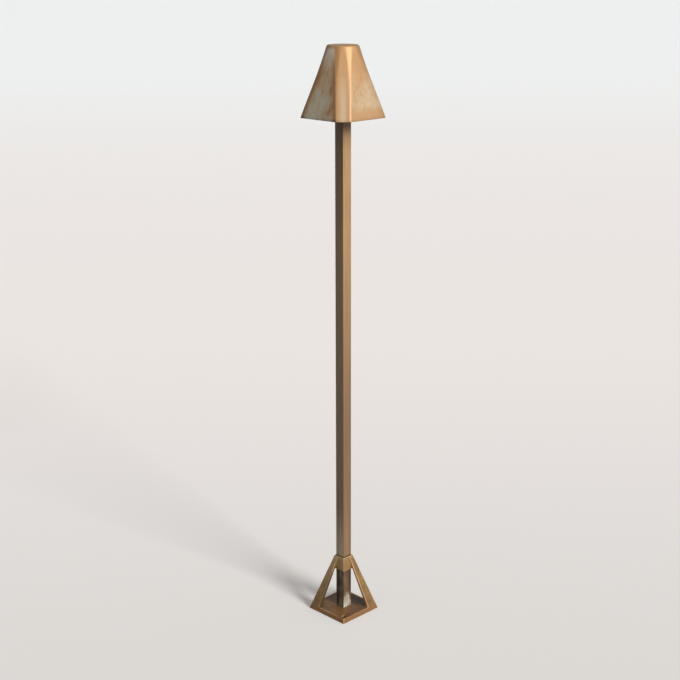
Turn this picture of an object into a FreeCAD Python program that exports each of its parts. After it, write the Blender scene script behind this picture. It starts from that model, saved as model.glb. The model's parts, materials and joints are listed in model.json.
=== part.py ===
"""Path light: a cast base, a square post and a cast hood over a glass lens, in millimetres.

The origin is the centre of the base's underside and +Z is up. The sides of the square base, post and
hood face along X and Y. The two legs of the base stand at its (-X, -Y) and (+X, +Y) corners.
"""
import FreeCAD, Part
import Sketcher
import math
import os
from types import SimpleNamespace

ROOT_TWO = math.sqrt(2)
FULL_TURN = 360
SIDES = {"left": -1, "right": 1}

# Driving dimensions: each name, its value in millimetres and what it measures.
DIMENSIONS = [
    ("base_side", 60.4, "underside of the base, corner to corner along one side"),
    ("base_height", 72.0, "underside of the base to the top of its collar"),
    ("rim_height", 5.5, "underside of the base to the top of its rim"),
    ("rim_land", 1.8, "width of the rim's flat top"),
    ("floor_recess", 0.8, "depth of the base's floor below its rim"),
    ("collar_wall", 1.45, "wall of the collar round the post"),
    ("collar_length", 18.0, "height of the collar"),
    ("leg_foot_width", 14.6, "outer face of a leg, at the underside"),
    ("leg_head_width", 6.2, "outer face of a leg, at the collar's top"),
    ("leg_foot_depth", 4.6, "side face of a leg, at the underside"),
    ("leg_head_depth", 2.8, "side face of a leg, at the collar's top"),
    ("anchor_edge", 5.1, "anchor hole's axis to the two edges of the floor"),
    ("anchor_radius", 2.1, "anchor hole"),
    ("anchor_sink_radius", 3.6, "anchor hole's countersink, at the floor"),
    ("bush_radius", 4.6, "cable bush in the floor's hole"),
    ("bush_flange_radius", 6.4, "cable bush's flange"),
    ("bush_flange_depth", 1.6, "cable bush's flange, along its axis"),
    ("bush_bore_radius", 3.25, "way through the cable bush"),
    ("post_side", 13.0, "outside of the square tube"),
    ("post_wall", 1.25, "wall of the square tube"),
    ("post_length", 609.6, "length of the square tube"),
    ("post_corner_radius", 0.4, "rounding of the tube's corners"),
    ("post_fit", 0.05, "gap between the post and the collar, on each side"),
    ("screw_fit", 0.02, "radial gap round a screw's thread"),
    ("set_screw_radius", 1.5, "set screw in the collar"),
    ("set_screw_length", 3.2, "set screw in the collar"),
    ("set_screw_offset", 4.0, "set screw's axis to the middle of the collar's face"),
    ("set_screw_key", 1.5, "set screw's hexagon socket, across flats"),
    ("set_screw_key_depth", 1.4, "set screw's hexagon socket"),
    ("spigot_length", 14.0, "hub's spigot inside the post"),
    ("spigot_fit", 0.05, "gap between the spigot and the post, on each side"),
    ("hub_flange_lip", 2.0, "hub's flange beyond the lens"),
    ("hub_flange_depth", 3.0, "hub's flange, along its axis"),
    ("hub_boss_height", 6.0, "hub's boss inside the lens"),
    ("hub_screw_radius", 1.5, "screw through the post into the spigot"),
    ("hub_screw_drop", 7.0, "hub screw's axis below the post's top"),
    ("hub_screw_cover", 0.3, "metal left between the hub screw's tip and the hub's bore"),
    ("hub_screw_head_radius", 2.7, "hub screw's head"),
    ("hub_screw_head_depth", 1.8, "hub screw's head"),
    ("screw_slot_width", 0.7, "driver slot"),
    ("screw_slot_depth", 0.7, "driver slot"),
    ("seal_groove_depth", 1.2, "groove in the hub's boss"),
    ("seal_width", 2.0, "seal and its groove, along the axis"),
    ("seal_gap", 0.05, "running gap between the seal and the lens"),
    ("seal_rounding", 0.6, "rounding of the seal's outer edges"),
    ("holder_radius", 8.5, "lampholder"),
    ("holder_height", 9.0, "lampholder"),
    ("holder_fit", 0.03, "gap round a contact in the lampholder"),
    ("holder_screw_offset", 5.8, "lampholder screw's axis to the middle"),
    ("holder_screw_radius", 1.0, "lampholder screw"),
    ("holder_screw_head_radius", 1.9, "lampholder screw's countersunk head"),
    ("holder_screw_grip", 5.0, "lampholder screw's thread in the hub"),
    ("holder_screw_clear", 0.1, "radial gap round a screw in a clearance hole"),
    ("contact_radius", 1.1, "lampholder's hole for a contact"),
    ("contact_tail_radius", 0.6, "contact's tail"),
    ("contact_tail_length", 4.0, "contact's tail below the lampholder"),
    ("pin_spacing", 4.0, "between the lamp's two pins"),
    ("pin_radius", 0.35, "lamp's pin"),
    ("pin_length", 7.0, "lamp's pin below the lamp's base"),
    ("pin_fit", 0.05, "running gap round a pin in its contact"),
    ("lamp_radius", 4.8, "lamp's capsule"),
    ("lamp_base_height", 5.0, "lamp's base"),
    ("lamp_capsule_height", 17.0, "lamp's capsule"),
    ("lamp_dome_radius", 3.8, "rounding of the capsule's end"),
    ("lamp_pull_room", 8.5, "free height between the lamp and the lens"),
    ("lens_radius", 14.0, "outside of the lens"),
    ("lens_wall", 1.8, "wall of the lens"),
    ("lens_fit", 0.3, "gap between the lens and the hub's boss"),
    ("lens_dome_radius", 8.0, "rounding of the lens's closed end"),
    ("bracket_depth", 2.0, "thickness of the bracket"),
    ("bracket_width", 16.0, "width of the bracket"),
    ("bracket_overhang", 4.5, "bracket's end beyond a stud's axis"),
    ("bracket_corner_radius", 4.0, "rounding of the bracket's corners"),
    ("stud_radius", 2.0, "stud"),
    ("stud_grip", 9.0, "stud's thread in the hood's boss"),
    ("stud_clear", 0.2, "radial gap round a stud in the bracket"),
    ("stud_tip", 1.0, "stud's end below its nut"),
    ("spacer_radius", 3.25, "spacer on a stud"),
    ("spacer_clear", 2.75, "gap between a spacer and the hub's flange"),
    ("washer_radius", 4.6, "washer"),
    ("washer_depth", 1.0, "washer"),
    ("washer_clear", 0.15, "radial gap round a stud in its washer"),
    ("nut_radius", 5.5, "thumb nut"),
    ("nut_height", 5.0, "thumb nut"),
    ("nut_fit", 0.05, "running gap round a stud in its nut"),
    ("knurl_depth", 0.5, "thumb nut's grooves"),
    ("hood_drop", 8.2, "hood's rim below the post's top"),
    ("hood_side", 78.8, "hood's rim, along one side"),
    ("hood_facet", 16.85, "corner facet at the hood's rim"),
    ("hood_top_radius", 17.9, "hood's round top"),
    ("hood_side_stand", 0.15, "hood's sides outside its round top, at the top"),
    ("hood_facet_sink", 0.08, "hood's facets inside its round top, at the top"),
    ("hood_flare", 2.0, "turned cone outside the facets, at the rim"),
    ("hood_edge_radius", 2.5, "rounding between sides and facets"),
    ("hood_top_rounding", 2.8, "rounding of the top's edge"),
    ("hood_wall", 2.7, "hood's wall, measured level"),
    ("hood_roof", 4.0, "hood's top"),
    ("hood_headroom", 14.6, "lens to the inside of the hood's top"),
    ("boss_level", 36.0, "hood's rim to the lower end of its bosses"),
    ("boss_radius", 4.0, "hood's boss for a stud"),
    ("lead_radius", 1.1, "lead wire with its insulation"),
    ("lead_clear", 0.2, "gap between a lead and the hub's bore"),
    ("lead_fit", 0.03, "gap between a lead and its splice"),
    ("lead_grip", 7.0, "lead's end inside its splice"),
    ("splice_radius", 2.2, "crimp splice"),
    ("splice_length", 20.0, "crimp splice"),
    ("splice_level", 38.0, "floor of the base to the lower splice"),
    ("splice_stagger", 26.0, "lower splice to the upper splice"),
]
KNURLS = 24


class Size:
    """A length that carries its value and the spreadsheet formula that gives it."""

    def __init__(self, value, formula):
        self.value = value
        self.formula = formula

    def joined(self, other, sign, value):
        return Size(value, f"({self.formula} {sign} {formula_of(other)})")

    def __add__(self, other):
        return self.joined(other, "+", self.value + value_of(other))

    def __sub__(self, other):
        return self.joined(other, "-", self.value - value_of(other))

    def __mul__(self, other):
        return self.joined(other, "*", self.value * value_of(other))

    def __truediv__(self, other):
        return self.joined(other, "/", self.value / value_of(other))

    def __neg__(self):
        return self * -1


def value_of(length):
    return length.value if isinstance(length, Size) else float(length)


def formula_of(length):
    return length.formula if isinstance(length, Size) else f"({float(length)})"


def make_sheet(doc):
    """Fills the spreadsheet with the driving dimensions and returns them by name."""
    sheet = doc.addObject("Spreadsheet::Sheet", "sizes")
    named = {}
    for row, (name, value, meaning) in enumerate(DIMENSIONS, start=1):
        sheet.set(f"A{row}", meaning)
        sheet.set(f"B{row}", str(value))
        sheet.setAlias(f"B{row}", name)
        named[name] = Size(value, f"sizes.{name}")
    doc.recompute()
    return SimpleNamespace(**named)


doc = FreeCAD.newDocument("path_light")
size = make_sheet(doc)

# Levels and sizes that follow from the driving dimensions.
base_half = size.base_side / 2
floor_level = size.rim_height - size.floor_recess
collar_hole = size.post_side + size.post_fit * 2
collar_side = collar_hole + size.collar_wall * 2
base_slope = (base_half - collar_side / 2) / size.base_height
rim_half = base_half - base_slope * size.rim_height
floor_half = rim_half - size.rim_land
anchor_offset = floor_half - size.anchor_edge

post_top = floor_level + size.post_length
post_bore = size.post_side - size.post_wall * 2
spigot_side = post_bore - size.spigot_fit * 2
pin_offset = size.pin_spacing / 2
hub_bore_radius = pin_offset + size.lead_radius + size.lead_clear

bracket_top = post_top + size.bracket_depth
hub_flange_radius = size.lens_radius + size.hub_flange_lip
lens_level = bracket_top + size.hub_flange_depth
lens_bore_radius = size.lens_radius - size.lens_wall
hub_boss_radius = lens_bore_radius - size.lens_fit
holder_level = lens_level + size.hub_boss_height
lamp_level = holder_level + size.holder_height
lamp_top = lamp_level + size.lamp_base_height + size.lamp_capsule_height
lens_top = lamp_top + size.lamp_pull_room + size.lens_wall
stud_offset = hub_flange_radius + size.spacer_clear + size.spacer_radius

hood_level = post_top - size.hood_drop
hood_top = lens_top + size.hood_headroom + size.hood_roof
hood_height = hood_top - hood_level
boss_floor = hood_level + size.boss_level
washer_level = post_top - size.washer_depth
nut_level = washer_level - size.nut_height


def new_body(label):
    body = doc.addObject("PartDesign::Body", label)
    body.Label = label
    return body


def place(item, x=0, y=0, z=0, rotation=None):
    """Places an item, with each coordinate bound to its formula."""
    if rotation is not None:
        item.Placement = FreeCAD.Placement(FreeCAD.Vector(), rotation)
    for axis, length in (("x", x), ("y", y), ("z", z)):
        item.setExpression(f"Placement.Base.{axis}", formula_of(length))
    return item


def sketch_on(body, role, name, lift=0, along=0):
    """Attaches a sketch to one of the body's own planes, moved along that plane's axes."""
    sketch = body.newObject("Sketcher::SketchObject", name)
    plane = next(item for item in body.Origin.OriginFeatures if item.Role == role)
    sketch.AttachmentSupport = (plane, [""])
    sketch.MapMode = "FlatFace"
    sketch.setExpression("AttachmentOffset.Base.x", formula_of(along))
    sketch.setExpression("AttachmentOffset.Base.z", formula_of(lift))
    return sketch


def pin_point(sketch, edge, point, x, y):
    """Fixes one point of a sketch by its two distances from the sketch's origin."""
    axes = (("DistanceX", x, -2), ("DistanceY", y, -1))
    for kind, length, axis in axes:
        if isinstance(length, Size):
            rule = Sketcher.Constraint(kind, -1, 1, edge, point, length.value)
            index = sketch.addConstraint(rule)
            sketch.setExpression(f"Constraints[{index}]", length.formula)
        else:
            sketch.addConstraint(Sketcher.Constraint("PointOnObject", edge, point, axis))


def draw_outline(sketch, corners):
    """Draws a closed loop of straight edges through pairs of sizes. A plain 0 lies on an axis."""
    first = sketch.GeometryCount
    count = len(corners)
    points = [FreeCAD.Vector(value_of(x), value_of(y), 0) for x, y in corners]
    for index in range(count):
        sketch.addGeometry(Part.LineSegment(points[index], points[(index + 1) % count]))
    for index in range(count):
        following = first + (index + 1) % count
        sketch.addConstraint(Sketcher.Constraint("Coincident", first + index, 2, following, 1))
    for index, (x, y) in enumerate(corners):
        pin_point(sketch, first + index, 1, x, y)


def draw_rectangle(sketch, half_x, half_y):
    draw_outline(sketch, [(-half_x, -half_y), (half_x, -half_y), (half_x, half_y), (-half_x, half_y)])


def draw_circle(sketch, x, y, radius):
    middle = FreeCAD.Vector(value_of(x), value_of(y), 0)
    circle = sketch.addGeometry(Part.Circle(middle, FreeCAD.Vector(0, 0, 1), radius.value))
    pin_point(sketch, circle, 3, x, y)
    index = sketch.addConstraint(Sketcher.Constraint("Radius", circle, radius.value))
    sketch.setExpression(f"Constraints[{index}]", radius.formula)


def add_straight(body, kind, sketch, length, reverse=False):
    """Adds a Pad or a Pocket of one sketch."""
    feature = body.newObject(f"PartDesign::{kind}", kind)
    feature.Profile = sketch
    feature.setExpression("Length", formula_of(length))
    feature.Reversed = reverse
    return feature


def add_turned(body, kind, sketch):
    """Adds a Revolution or a Groove of one sketch about the sketch's upright axis."""
    feature = body.newObject(f"PartDesign::{kind}", kind)
    feature.Profile = sketch
    feature.ReferenceAxis = (sketch, ["V_Axis"])
    feature.Angle = FULL_TURN
    return feature


def add_loft(body, lower, upper):
    """Adds a straight-sided solid between two sketches."""
    feature = body.newObject("PartDesign::AdditiveLoft", "AdditiveLoft")
    feature.Profile = lower
    feature.Sections = [upper]
    feature.Ruled = True
    return feature


def add_fillet(body, base, radius, wanted):
    """Rounds the edges of a feature that the given test picks out."""
    doc.recompute()
    names = [f"Edge{i}" for i, edge in enumerate(base.Shape.Edges, start=1) if wanted(edge)]
    feature = body.newObject("PartDesign::Fillet", "Fillet")
    feature.Base = (base, names)
    feature.setExpression("Radius", radius.formula)
    return feature


def turned_body(label, profile):
    """Makes a body by turning one outline of (radius, height) pairs about Z."""
    body = new_body(label)
    sketch = sketch_on(body, "XZ_Plane", "profile")
    draw_outline(sketch, profile)
    add_turned(body, "Revolution", sketch)
    return body


def is_level(edge):
    box = edge.BoundBox
    return box.ZLength < 0.001


def is_upright(edge):
    box = edge.BoundBox
    return box.XLength < 0.001 and box.YLength < 0.001


def is_ring_at(edge, radius, level):
    """Tells a full circle about Z of the given radius and height."""
    same_level = is_level(edge) and abs(edge.BoundBox.ZMax - level.value) < 0.001
    return same_level and abs(edge.BoundBox.XMax - radius.value) < 0.001


def make_base():
    """Plate with a sloped rim, two corner legs and the collar, as one casting."""
    body = new_body("base_casting")
    foot = sketch_on(body, "XY_Plane", "foot")
    draw_rectangle(foot, base_half, base_half)
    rim = sketch_on(body, "XY_Plane", "rim", size.rim_height)
    draw_rectangle(rim, rim_half, rim_half)
    add_loft(body, foot, rim)

    floor = sketch_on(body, "XY_Plane", "floor", size.rim_height)
    draw_rectangle(floor, floor_half, floor_half)
    add_straight(body, "Pocket", floor, size.floor_recess)

    for side in SIDES.values():
        leg_foot = sketch_on(body, "XY_Plane", "leg_foot")
        draw_leg(leg_foot, side, base_half, size.leg_foot_width, size.leg_foot_depth)
        leg_head = sketch_on(body, "XY_Plane", "leg_head", size.base_height)
        draw_leg(leg_head, side, collar_side / 2, size.leg_head_width, size.leg_head_depth)
        add_loft(body, leg_foot, leg_head)

    collar = sketch_on(body, "XY_Plane", "collar", size.base_height)
    draw_rectangle(collar, collar_side / 2, collar_side / 2)
    add_straight(body, "Pad", collar, size.collar_length, reverse=True)
    socket = sketch_on(body, "XY_Plane", "socket", size.base_height)
    draw_rectangle(socket, collar_hole / 2, collar_hole / 2)
    add_straight(body, "Pocket", socket, size.base_height - floor_level)

    inlet = sketch_on(body, "XZ_Plane", "inlet")
    draw_outline(inlet, [
        (0, 0),
        (size.bush_flange_radius, 0),
        (size.bush_flange_radius, size.bush_flange_depth),
        (size.bush_radius, size.bush_flange_depth),
        (size.bush_radius, floor_level),
        (0, floor_level)])
    add_turned(body, "Groove", inlet)

    sink_depth = size.anchor_sink_radius - size.anchor_radius
    for side in SIDES.values():
        anchor = sketch_on(body, "XZ_Plane", "anchor", anchor_offset * side, anchor_offset * side)
        draw_outline(anchor, [
            (0, 0),
            (size.anchor_radius, 0),
            (size.anchor_radius, floor_level - sink_depth),
            (size.anchor_sink_radius, floor_level),
            (0, floor_level)])
        add_turned(body, "Groove", anchor)

    hole_radius = size.set_screw_radius + size.screw_fit
    hole_level = size.base_height - size.collar_length / 2
    back_left = sketch_on(body, "YZ_Plane", "back_left")
    draw_circle(back_left, size.set_screw_offset, hole_level, hole_radius)
    add_straight(body, "Pocket", back_left, collar_side)
    back_right = sketch_on(body, "XZ_Plane", "back_right")
    draw_circle(back_right, -size.set_screw_offset, hole_level, hole_radius)
    add_straight(body, "Pocket", back_right, collar_side)


def draw_leg(sketch, side, corner, width, depth):
    """Draws a leg's level section: two outer faces, two side faces and a slanting inner face."""
    reaches = [(0, 0), (width, 0), (width, depth), (depth, width), (0, width)]
    draw_outline(sketch, [((corner - x) * side, (corner - y) * side) for x, y in reaches])


def make_cable_bush():
    turned_body("cable_bush", [
        (size.bush_bore_radius, 0),
        (size.bush_flange_radius, 0),
        (size.bush_flange_radius, size.bush_flange_depth),
        (size.bush_radius, size.bush_flange_depth),
        (size.bush_radius, floor_level),
        (size.bush_bore_radius, floor_level)])


def make_post():
    """Square tube with the hole for the hub's screw in its -X wall."""
    body = new_body("post")
    outside = sketch_on(body, "XY_Plane", "outside")
    draw_rectangle(outside, size.post_side / 2, size.post_side / 2)
    bar = add_straight(body, "Pad", outside, size.post_length)
    add_fillet(body, bar, size.post_corner_radius, is_upright)
    inside = sketch_on(body, "XY_Plane", "inside", size.post_length)
    draw_rectangle(inside, post_bore / 2, post_bore / 2)
    add_straight(body, "Pocket", inside, size.post_length)
    screw_hole = sketch_on(body, "YZ_Plane", "screw_hole")
    hole_radius = size.hub_screw_radius + size.holder_screw_clear
    draw_circle(screw_hole, 0, size.post_length - size.hub_screw_drop, hole_radius)
    add_straight(body, "Pocket", screw_hole, size.post_side)
    place(body, z=floor_level)


def make_set_screws():
    """Socket set screws in the collar's two back faces, tips against the post."""
    hole_level = size.base_height - size.collar_length / 2
    reach = size.post_side / 2
    towards_x = FreeCAD.Rotation(FreeCAD.Vector(0, 1, 0), -90)
    towards_y = FreeCAD.Rotation(FreeCAD.Vector(1, 0, 0), -90)
    seats = {
        "set_screw_left": (-reach, size.set_screw_offset, towards_x),
        "set_screw_right": (-size.set_screw_offset, reach, towards_y)}
    for label, (x, y, rotation) in seats.items():
        body = new_body(label)
        shank = sketch_on(body, "XY_Plane", "shank")
        draw_circle(shank, 0, 0, size.set_screw_radius)
        add_straight(body, "Pad", shank, size.set_screw_length)
        key = sketch_on(body, "XY_Plane", "key", size.set_screw_length)
        across_corners = size.set_screw_key / math.sqrt(3)
        turns = [math.radians(60 * step + 30) for step in range(6)]
        draw_outline(key, [(across_corners * math.cos(a), across_corners * math.sin(a)) for a in turns])
        add_straight(body, "Pocket", key, size.set_screw_key_depth)
        place(body, x, y, hole_level, rotation)


def make_bracket():
    """Flat cross strap between the post's end and the hub, drilled for the two studs."""
    body = new_body("bracket")
    strip = sketch_on(body, "XY_Plane", "strip")
    draw_rectangle(strip, stud_offset + size.bracket_overhang, size.bracket_width / 2)
    plate = add_straight(body, "Pad", strip, size.bracket_depth)
    add_fillet(body, plate, size.bracket_corner_radius, is_upright)
    socket = sketch_on(body, "XY_Plane", "socket", size.bracket_depth)
    draw_rectangle(socket, spigot_side / 2 + size.spigot_fit, spigot_side / 2 + size.spigot_fit)
    add_straight(body, "Pocket", socket, size.bracket_depth)
    holes = sketch_on(body, "XY_Plane", "holes", size.bracket_depth)
    for side in SIDES.values():
        draw_circle(holes, stud_offset * side, 0, size.stud_radius + size.stud_clear)
    add_straight(body, "Pocket", holes, size.bracket_depth)
    place(body, z=post_top)


def make_hub():
    """Turned hub: flange, boss with a seal groove, and a square spigot that enters the post."""
    body = new_body("hub")
    turning = sketch_on(body, "XZ_Plane", "turning")
    boss_top = size.hub_flange_depth + size.hub_boss_height
    groove_low = size.hub_flange_depth + (size.hub_boss_height - size.seal_width) / 2
    groove_high = groove_low + size.seal_width
    groove_radius = hub_boss_radius - size.seal_groove_depth
    draw_outline(turning, [
        (hub_bore_radius, 0),
        (hub_flange_radius, 0),
        (hub_flange_radius, size.hub_flange_depth),
        (hub_boss_radius, size.hub_flange_depth),
        (hub_boss_radius, groove_low),
        (groove_radius, groove_low),
        (groove_radius, groove_high),
        (hub_boss_radius, groove_high),
        (hub_boss_radius, boss_top),
        (hub_bore_radius, boss_top)])
    add_turned(body, "Revolution", turning)

    spigot = sketch_on(body, "XY_Plane", "spigot")
    draw_rectangle(spigot, spigot_side / 2, spigot_side / 2)
    draw_circle(spigot, 0, 0, hub_bore_radius)
    reach = size.bracket_depth + size.spigot_length
    add_straight(body, "Pad", spigot, reach, reverse=True)

    taps = sketch_on(body, "XY_Plane", "taps", boss_top)
    for side in SIDES.values():
        draw_circle(taps, 0, size.holder_screw_offset * side, size.holder_screw_radius + size.screw_fit)
    add_straight(body, "Pocket", taps, size.holder_screw_grip)
    cross_tap = sketch_on(body, "YZ_Plane", "cross_tap")
    tap_level = -(size.bracket_depth + size.hub_screw_drop)
    draw_circle(cross_tap, 0, tap_level, size.hub_screw_radius + size.screw_fit)
    add_straight(body, "Pocket", cross_tap, spigot_side)
    place(body, z=bracket_top)


def make_hub_screw():
    """Slotted pan-head screw through the post's -X wall into the spigot."""
    reach = size.post_side / 2 - hub_bore_radius - size.hub_screw_cover
    body = turned_body("hub_screw", [
        (0, -reach),
        (size.hub_screw_radius, -reach),
        (size.hub_screw_radius, 0),
        (size.hub_screw_head_radius, 0),
        (size.hub_screw_head_radius, size.hub_screw_head_depth),
        (0, size.hub_screw_head_depth)])
    add_slot(body, size.hub_screw_head_radius, size.hub_screw_head_depth)
    towards_x = FreeCAD.Rotation(FreeCAD.Vector(0, 1, 0), -90)
    place(body, -size.post_side / 2, 0, post_top - size.hub_screw_drop, towards_x)


def add_slot(body, head_radius, head_top):
    slot = sketch_on(body, "XY_Plane", "slot", head_top)
    draw_rectangle(slot, head_radius, size.screw_slot_width / 2)
    add_straight(body, "Pocket", slot, size.screw_slot_depth)


def make_lampholder():
    """Ceramic disc with two contact holes and two countersunk screw holes."""
    body = turned_body("lampholder", [
        (0, 0),
        (size.holder_radius, 0),
        (size.holder_radius, size.holder_height),
        (0, size.holder_height)])
    contacts = sketch_on(body, "XY_Plane", "contacts", size.holder_height)
    for side in SIDES.values():
        draw_circle(contacts, pin_offset * side, 0, size.contact_radius)
    add_straight(body, "Pocket", contacts, size.holder_height)
    hole_radius = size.holder_screw_radius + size.holder_screw_clear
    sink_depth = size.holder_screw_head_radius - hole_radius
    for side in SIDES.values():
        hole = sketch_on(body, "YZ_Plane", "hole", along=size.holder_screw_offset * side)
        draw_outline(hole, [
            (0, 0),
            (hole_radius, 0),
            (hole_radius, size.holder_height - sink_depth),
            (size.holder_screw_head_radius, size.holder_height),
            (0, size.holder_height)])
        add_turned(body, "Groove", hole)
    place(body, z=holder_level)


def make_lampholder_screws():
    head_depth = size.holder_screw_head_radius - size.holder_screw_radius - size.holder_screw_clear
    for name, side in SIDES.items():
        body = turned_body(f"lampholder_screw_{name}", [
            (0, -size.holder_screw_grip),
            (size.holder_screw_radius, -size.holder_screw_grip),
            (size.holder_screw_radius, size.holder_height - head_depth),
            (size.holder_screw_head_radius - size.holder_screw_clear, size.holder_height),
            (0, size.holder_height)])
        add_slot(body, size.holder_screw_head_radius, size.holder_height)
        place(body, 0, size.holder_screw_offset * side, holder_level)


def make_contacts():
    """Spring sleeves for the lamp's pins, each with a tail down into the hub's bore."""
    sleeve_radius = size.contact_radius - size.holder_fit
    bore_radius = size.pin_radius + size.pin_fit
    bore_floor = size.holder_height - size.pin_length - size.pin_fit
    for name, side in SIDES.items():
        body = turned_body(f"contact_{name}", [
            (0, -size.contact_tail_length),
            (size.contact_tail_radius, -size.contact_tail_length),
            (size.contact_tail_radius, 0),
            (sleeve_radius, 0),
            (sleeve_radius, size.holder_height),
            (bore_radius, size.holder_height),
            (bore_radius, bore_floor),
            (0, bore_floor)])
        place(body, pin_offset * side, 0, holder_level)


def make_leads():
    """Lead wires from the contacts' tails down the post, each into a crimp splice."""
    lead_top = holder_level - size.contact_tail_length
    for name, step in (("left", 0), ("right", 1)):
        splice_level = floor_level + size.splice_level + size.splice_stagger * step
        splice_top = splice_level + size.splice_length
        lead = doc.addObject("Part::Cylinder", f"lead_{name}")
        lead.Label = f"lead_{name}"
        lead.setExpression("Radius", size.lead_radius.formula)
        lead.setExpression("Height", (lead_top - splice_top + size.lead_grip).formula)
        place(lead, pin_offset * SIDES[name], 0, splice_top - size.lead_grip)
        bore = size.lead_radius + size.lead_fit
        splice = turned_body(f"splice_{name}", [
            (bore, 0),
            (size.splice_radius, 0),
            (size.splice_radius, size.splice_length),
            (bore, size.splice_length)])
        place(splice, pin_offset * SIDES[name], 0, splice_level)


def make_lamp():
    """Two-pin capsule lamp: moulded base, rounded capsule and a pair of pins."""
    turned = turned_body("lamp_base", [
        (0, 0),
        (size.lamp_radius, 0),
        (size.lamp_radius, size.lamp_base_height),
        (0, size.lamp_base_height)])
    place(turned, z=lamp_level)
    capsule = turned_body("lamp_capsule", [
        (0, 0),
        (size.lamp_radius, 0),
        (size.lamp_radius, size.lamp_capsule_height),
        (0, size.lamp_capsule_height)])
    top_ring = (size.lamp_radius, size.lamp_capsule_height)
    add_fillet(capsule, capsule.Tip, size.lamp_dome_radius, lambda edge: is_ring_at(edge, *top_ring))
    place(capsule, z=lamp_level + size.lamp_base_height)
    for name, side in SIDES.items():
        label = f"lamp_pin_{name}"
        pin = doc.addObject("Part::Cylinder", label)
        pin.Label = label
        pin.setExpression("Radius", size.pin_radius.formula)
        pin.setExpression("Height", size.pin_length.formula)
        place(pin, pin_offset * side, 0, lamp_level - size.pin_length)


def make_lens():
    """Clear glass jar, open below, with a rounded closed end."""
    height = lens_top - lens_level
    inner_height = height - size.lens_wall
    body = turned_body("lens", [
        (lens_bore_radius, 0),
        (size.lens_radius, 0),
        (size.lens_radius, height),
        (0, height),
        (0, inner_height),
        (lens_bore_radius, inner_height)])
    outer = add_fillet(
        body, body.Tip, size.lens_dome_radius, lambda edge: is_ring_at(edge, size.lens_radius, height))
    inner_radius = size.lens_dome_radius - size.lens_wall
    add_fillet(body, outer, inner_radius, lambda edge: is_ring_at(edge, lens_bore_radius, inner_height))
    place(body, z=lens_level)


def make_seal():
    """Rubber ring that fills the hub's groove and bears on the lens."""
    inner = hub_boss_radius - size.seal_groove_depth
    outer = lens_bore_radius - size.seal_gap
    body = turned_body("lens_seal", [
        (inner, 0),
        (outer, 0),
        (outer, size.seal_width),
        (inner, size.seal_width)])
    add_fillet(body, body.Tip, size.seal_rounding, lambda edge: is_outer_ring(edge, outer))
    place(body, z=lens_level + (size.hub_boss_height - size.seal_width) / 2)


def is_outer_ring(edge, radius):
    return is_level(edge) and abs(edge.BoundBox.XMax - radius.value) < 0.001


def make_hood():
    """Cast hood: a square pyramid with corner facets, turned to a round top, hollow, with two bosses."""
    outside = hood_form("hood_outside", 0, hood_height, size.hood_edge_radius)
    inside = hood_form("hood_inside", size.hood_wall, hood_height - size.hood_roof)
    core = inside
    for name, side in SIDES.items():
        boss = doc.addObject("Part::Cylinder", f"hood_boss_{name}")
        boss.setExpression("Radius", size.boss_radius.formula)
        boss.setExpression("Height", (hood_height - size.boss_level).formula)
        place(boss, stud_offset * side, 0, boss_floor)
        core = cut_away(f"hood_core_{name}", core, boss)
    shell = cut_away("hood_shell", outside, core)
    for name, side in SIDES.items():
        hole = doc.addObject("Part::Cylinder", f"stud_hole_{name}")
        hole.setExpression("Radius", (size.stud_radius + size.screw_fit).formula)
        hole.setExpression("Height", size.stud_grip.formula)
        place(hole, stud_offset * side, 0, boss_floor)
        shell = cut_away(f"hood_drilled_{name}", shell, hole)
    shell.Label = "hood"


def cut_away(name, base, tool):
    cut = doc.addObject("Part::Cut", name)
    cut.Base = base
    cut.Tool = tool
    return cut


def hood_form(name, inset, height, edge_radius=None):
    """Makes the hood's faceted pyramid, drawn in by an inset, and trims it with a turned cone."""
    rim_side = size.hood_side / 2
    rim_facet = rim_side * ROOT_TWO - size.hood_facet / 2
    rim_radius = rim_facet + size.hood_flare
    top_side = size.hood_top_radius + size.hood_side_stand
    top_facet = size.hood_top_radius - size.hood_facet_sink
    share = height / hood_height

    def at_top(low, high):
        return low + (high - low) * share - inset

    sides = make_stump(f"{name}_sides", rim_side - inset, at_top(rim_side, top_side), height, 0)
    facets = make_stump(f"{name}_facets", rim_facet - inset, at_top(rim_facet, top_facet), height, 45)
    pyramid = keep_common(f"{name}_pyramid", sides, facets)
    if edge_radius is not None:
        pyramid = round_edges(f"{name}_rounded", pyramid, edge_radius)

    top_radius = at_top(rim_radius, size.hood_top_radius)
    blank = turned_body(f"{name}_blank", [(0, 0), (rim_radius - inset, 0), (top_radius, height), (0, height)])
    add_fillet(
        blank, blank.Tip, size.hood_top_rounding, lambda edge: is_ring_at(edge, top_radius, height))
    place(blank, z=hood_level)
    return keep_common(name, pyramid, blank)


def make_stump(name, foot, top, height, turn):
    """Makes a square pyramid stump on the hood's rim level from its half sides, turned about Z."""
    stump = doc.addObject("Part::Wedge", name)
    spans = {"Xmin": -foot, "Xmax": foot, "Zmin": -foot, "Zmax": foot, "Ymin": 0, "Ymax": height}
    spans.update({"X2min": -top, "X2max": top, "Z2min": -top, "Z2max": top})
    for side, length in spans.items():
        stump.setExpression(side, formula_of(length))
    upright = FreeCAD.Rotation(FreeCAD.Vector(1, 0, 0), 90)
    return place(stump, z=hood_level, rotation=FreeCAD.Rotation(FreeCAD.Vector(0, 0, 1), turn) * upright)


def round_edges(name, base, radius):
    """Rounds every slanting edge of a solid."""
    doc.recompute()
    rounded = doc.addObject("Part::Fillet", name)
    rounded.Base = base
    edges = enumerate(base.Shape.Edges, start=1)
    rounded.Edges = [(index, radius.value, radius.value) for index, edge in edges if not is_level(edge)]
    return rounded


def keep_common(name, base, tool):
    common = doc.addObject("Part::Common", name)
    common.Base = base
    common.Tool = tool
    return common


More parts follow.
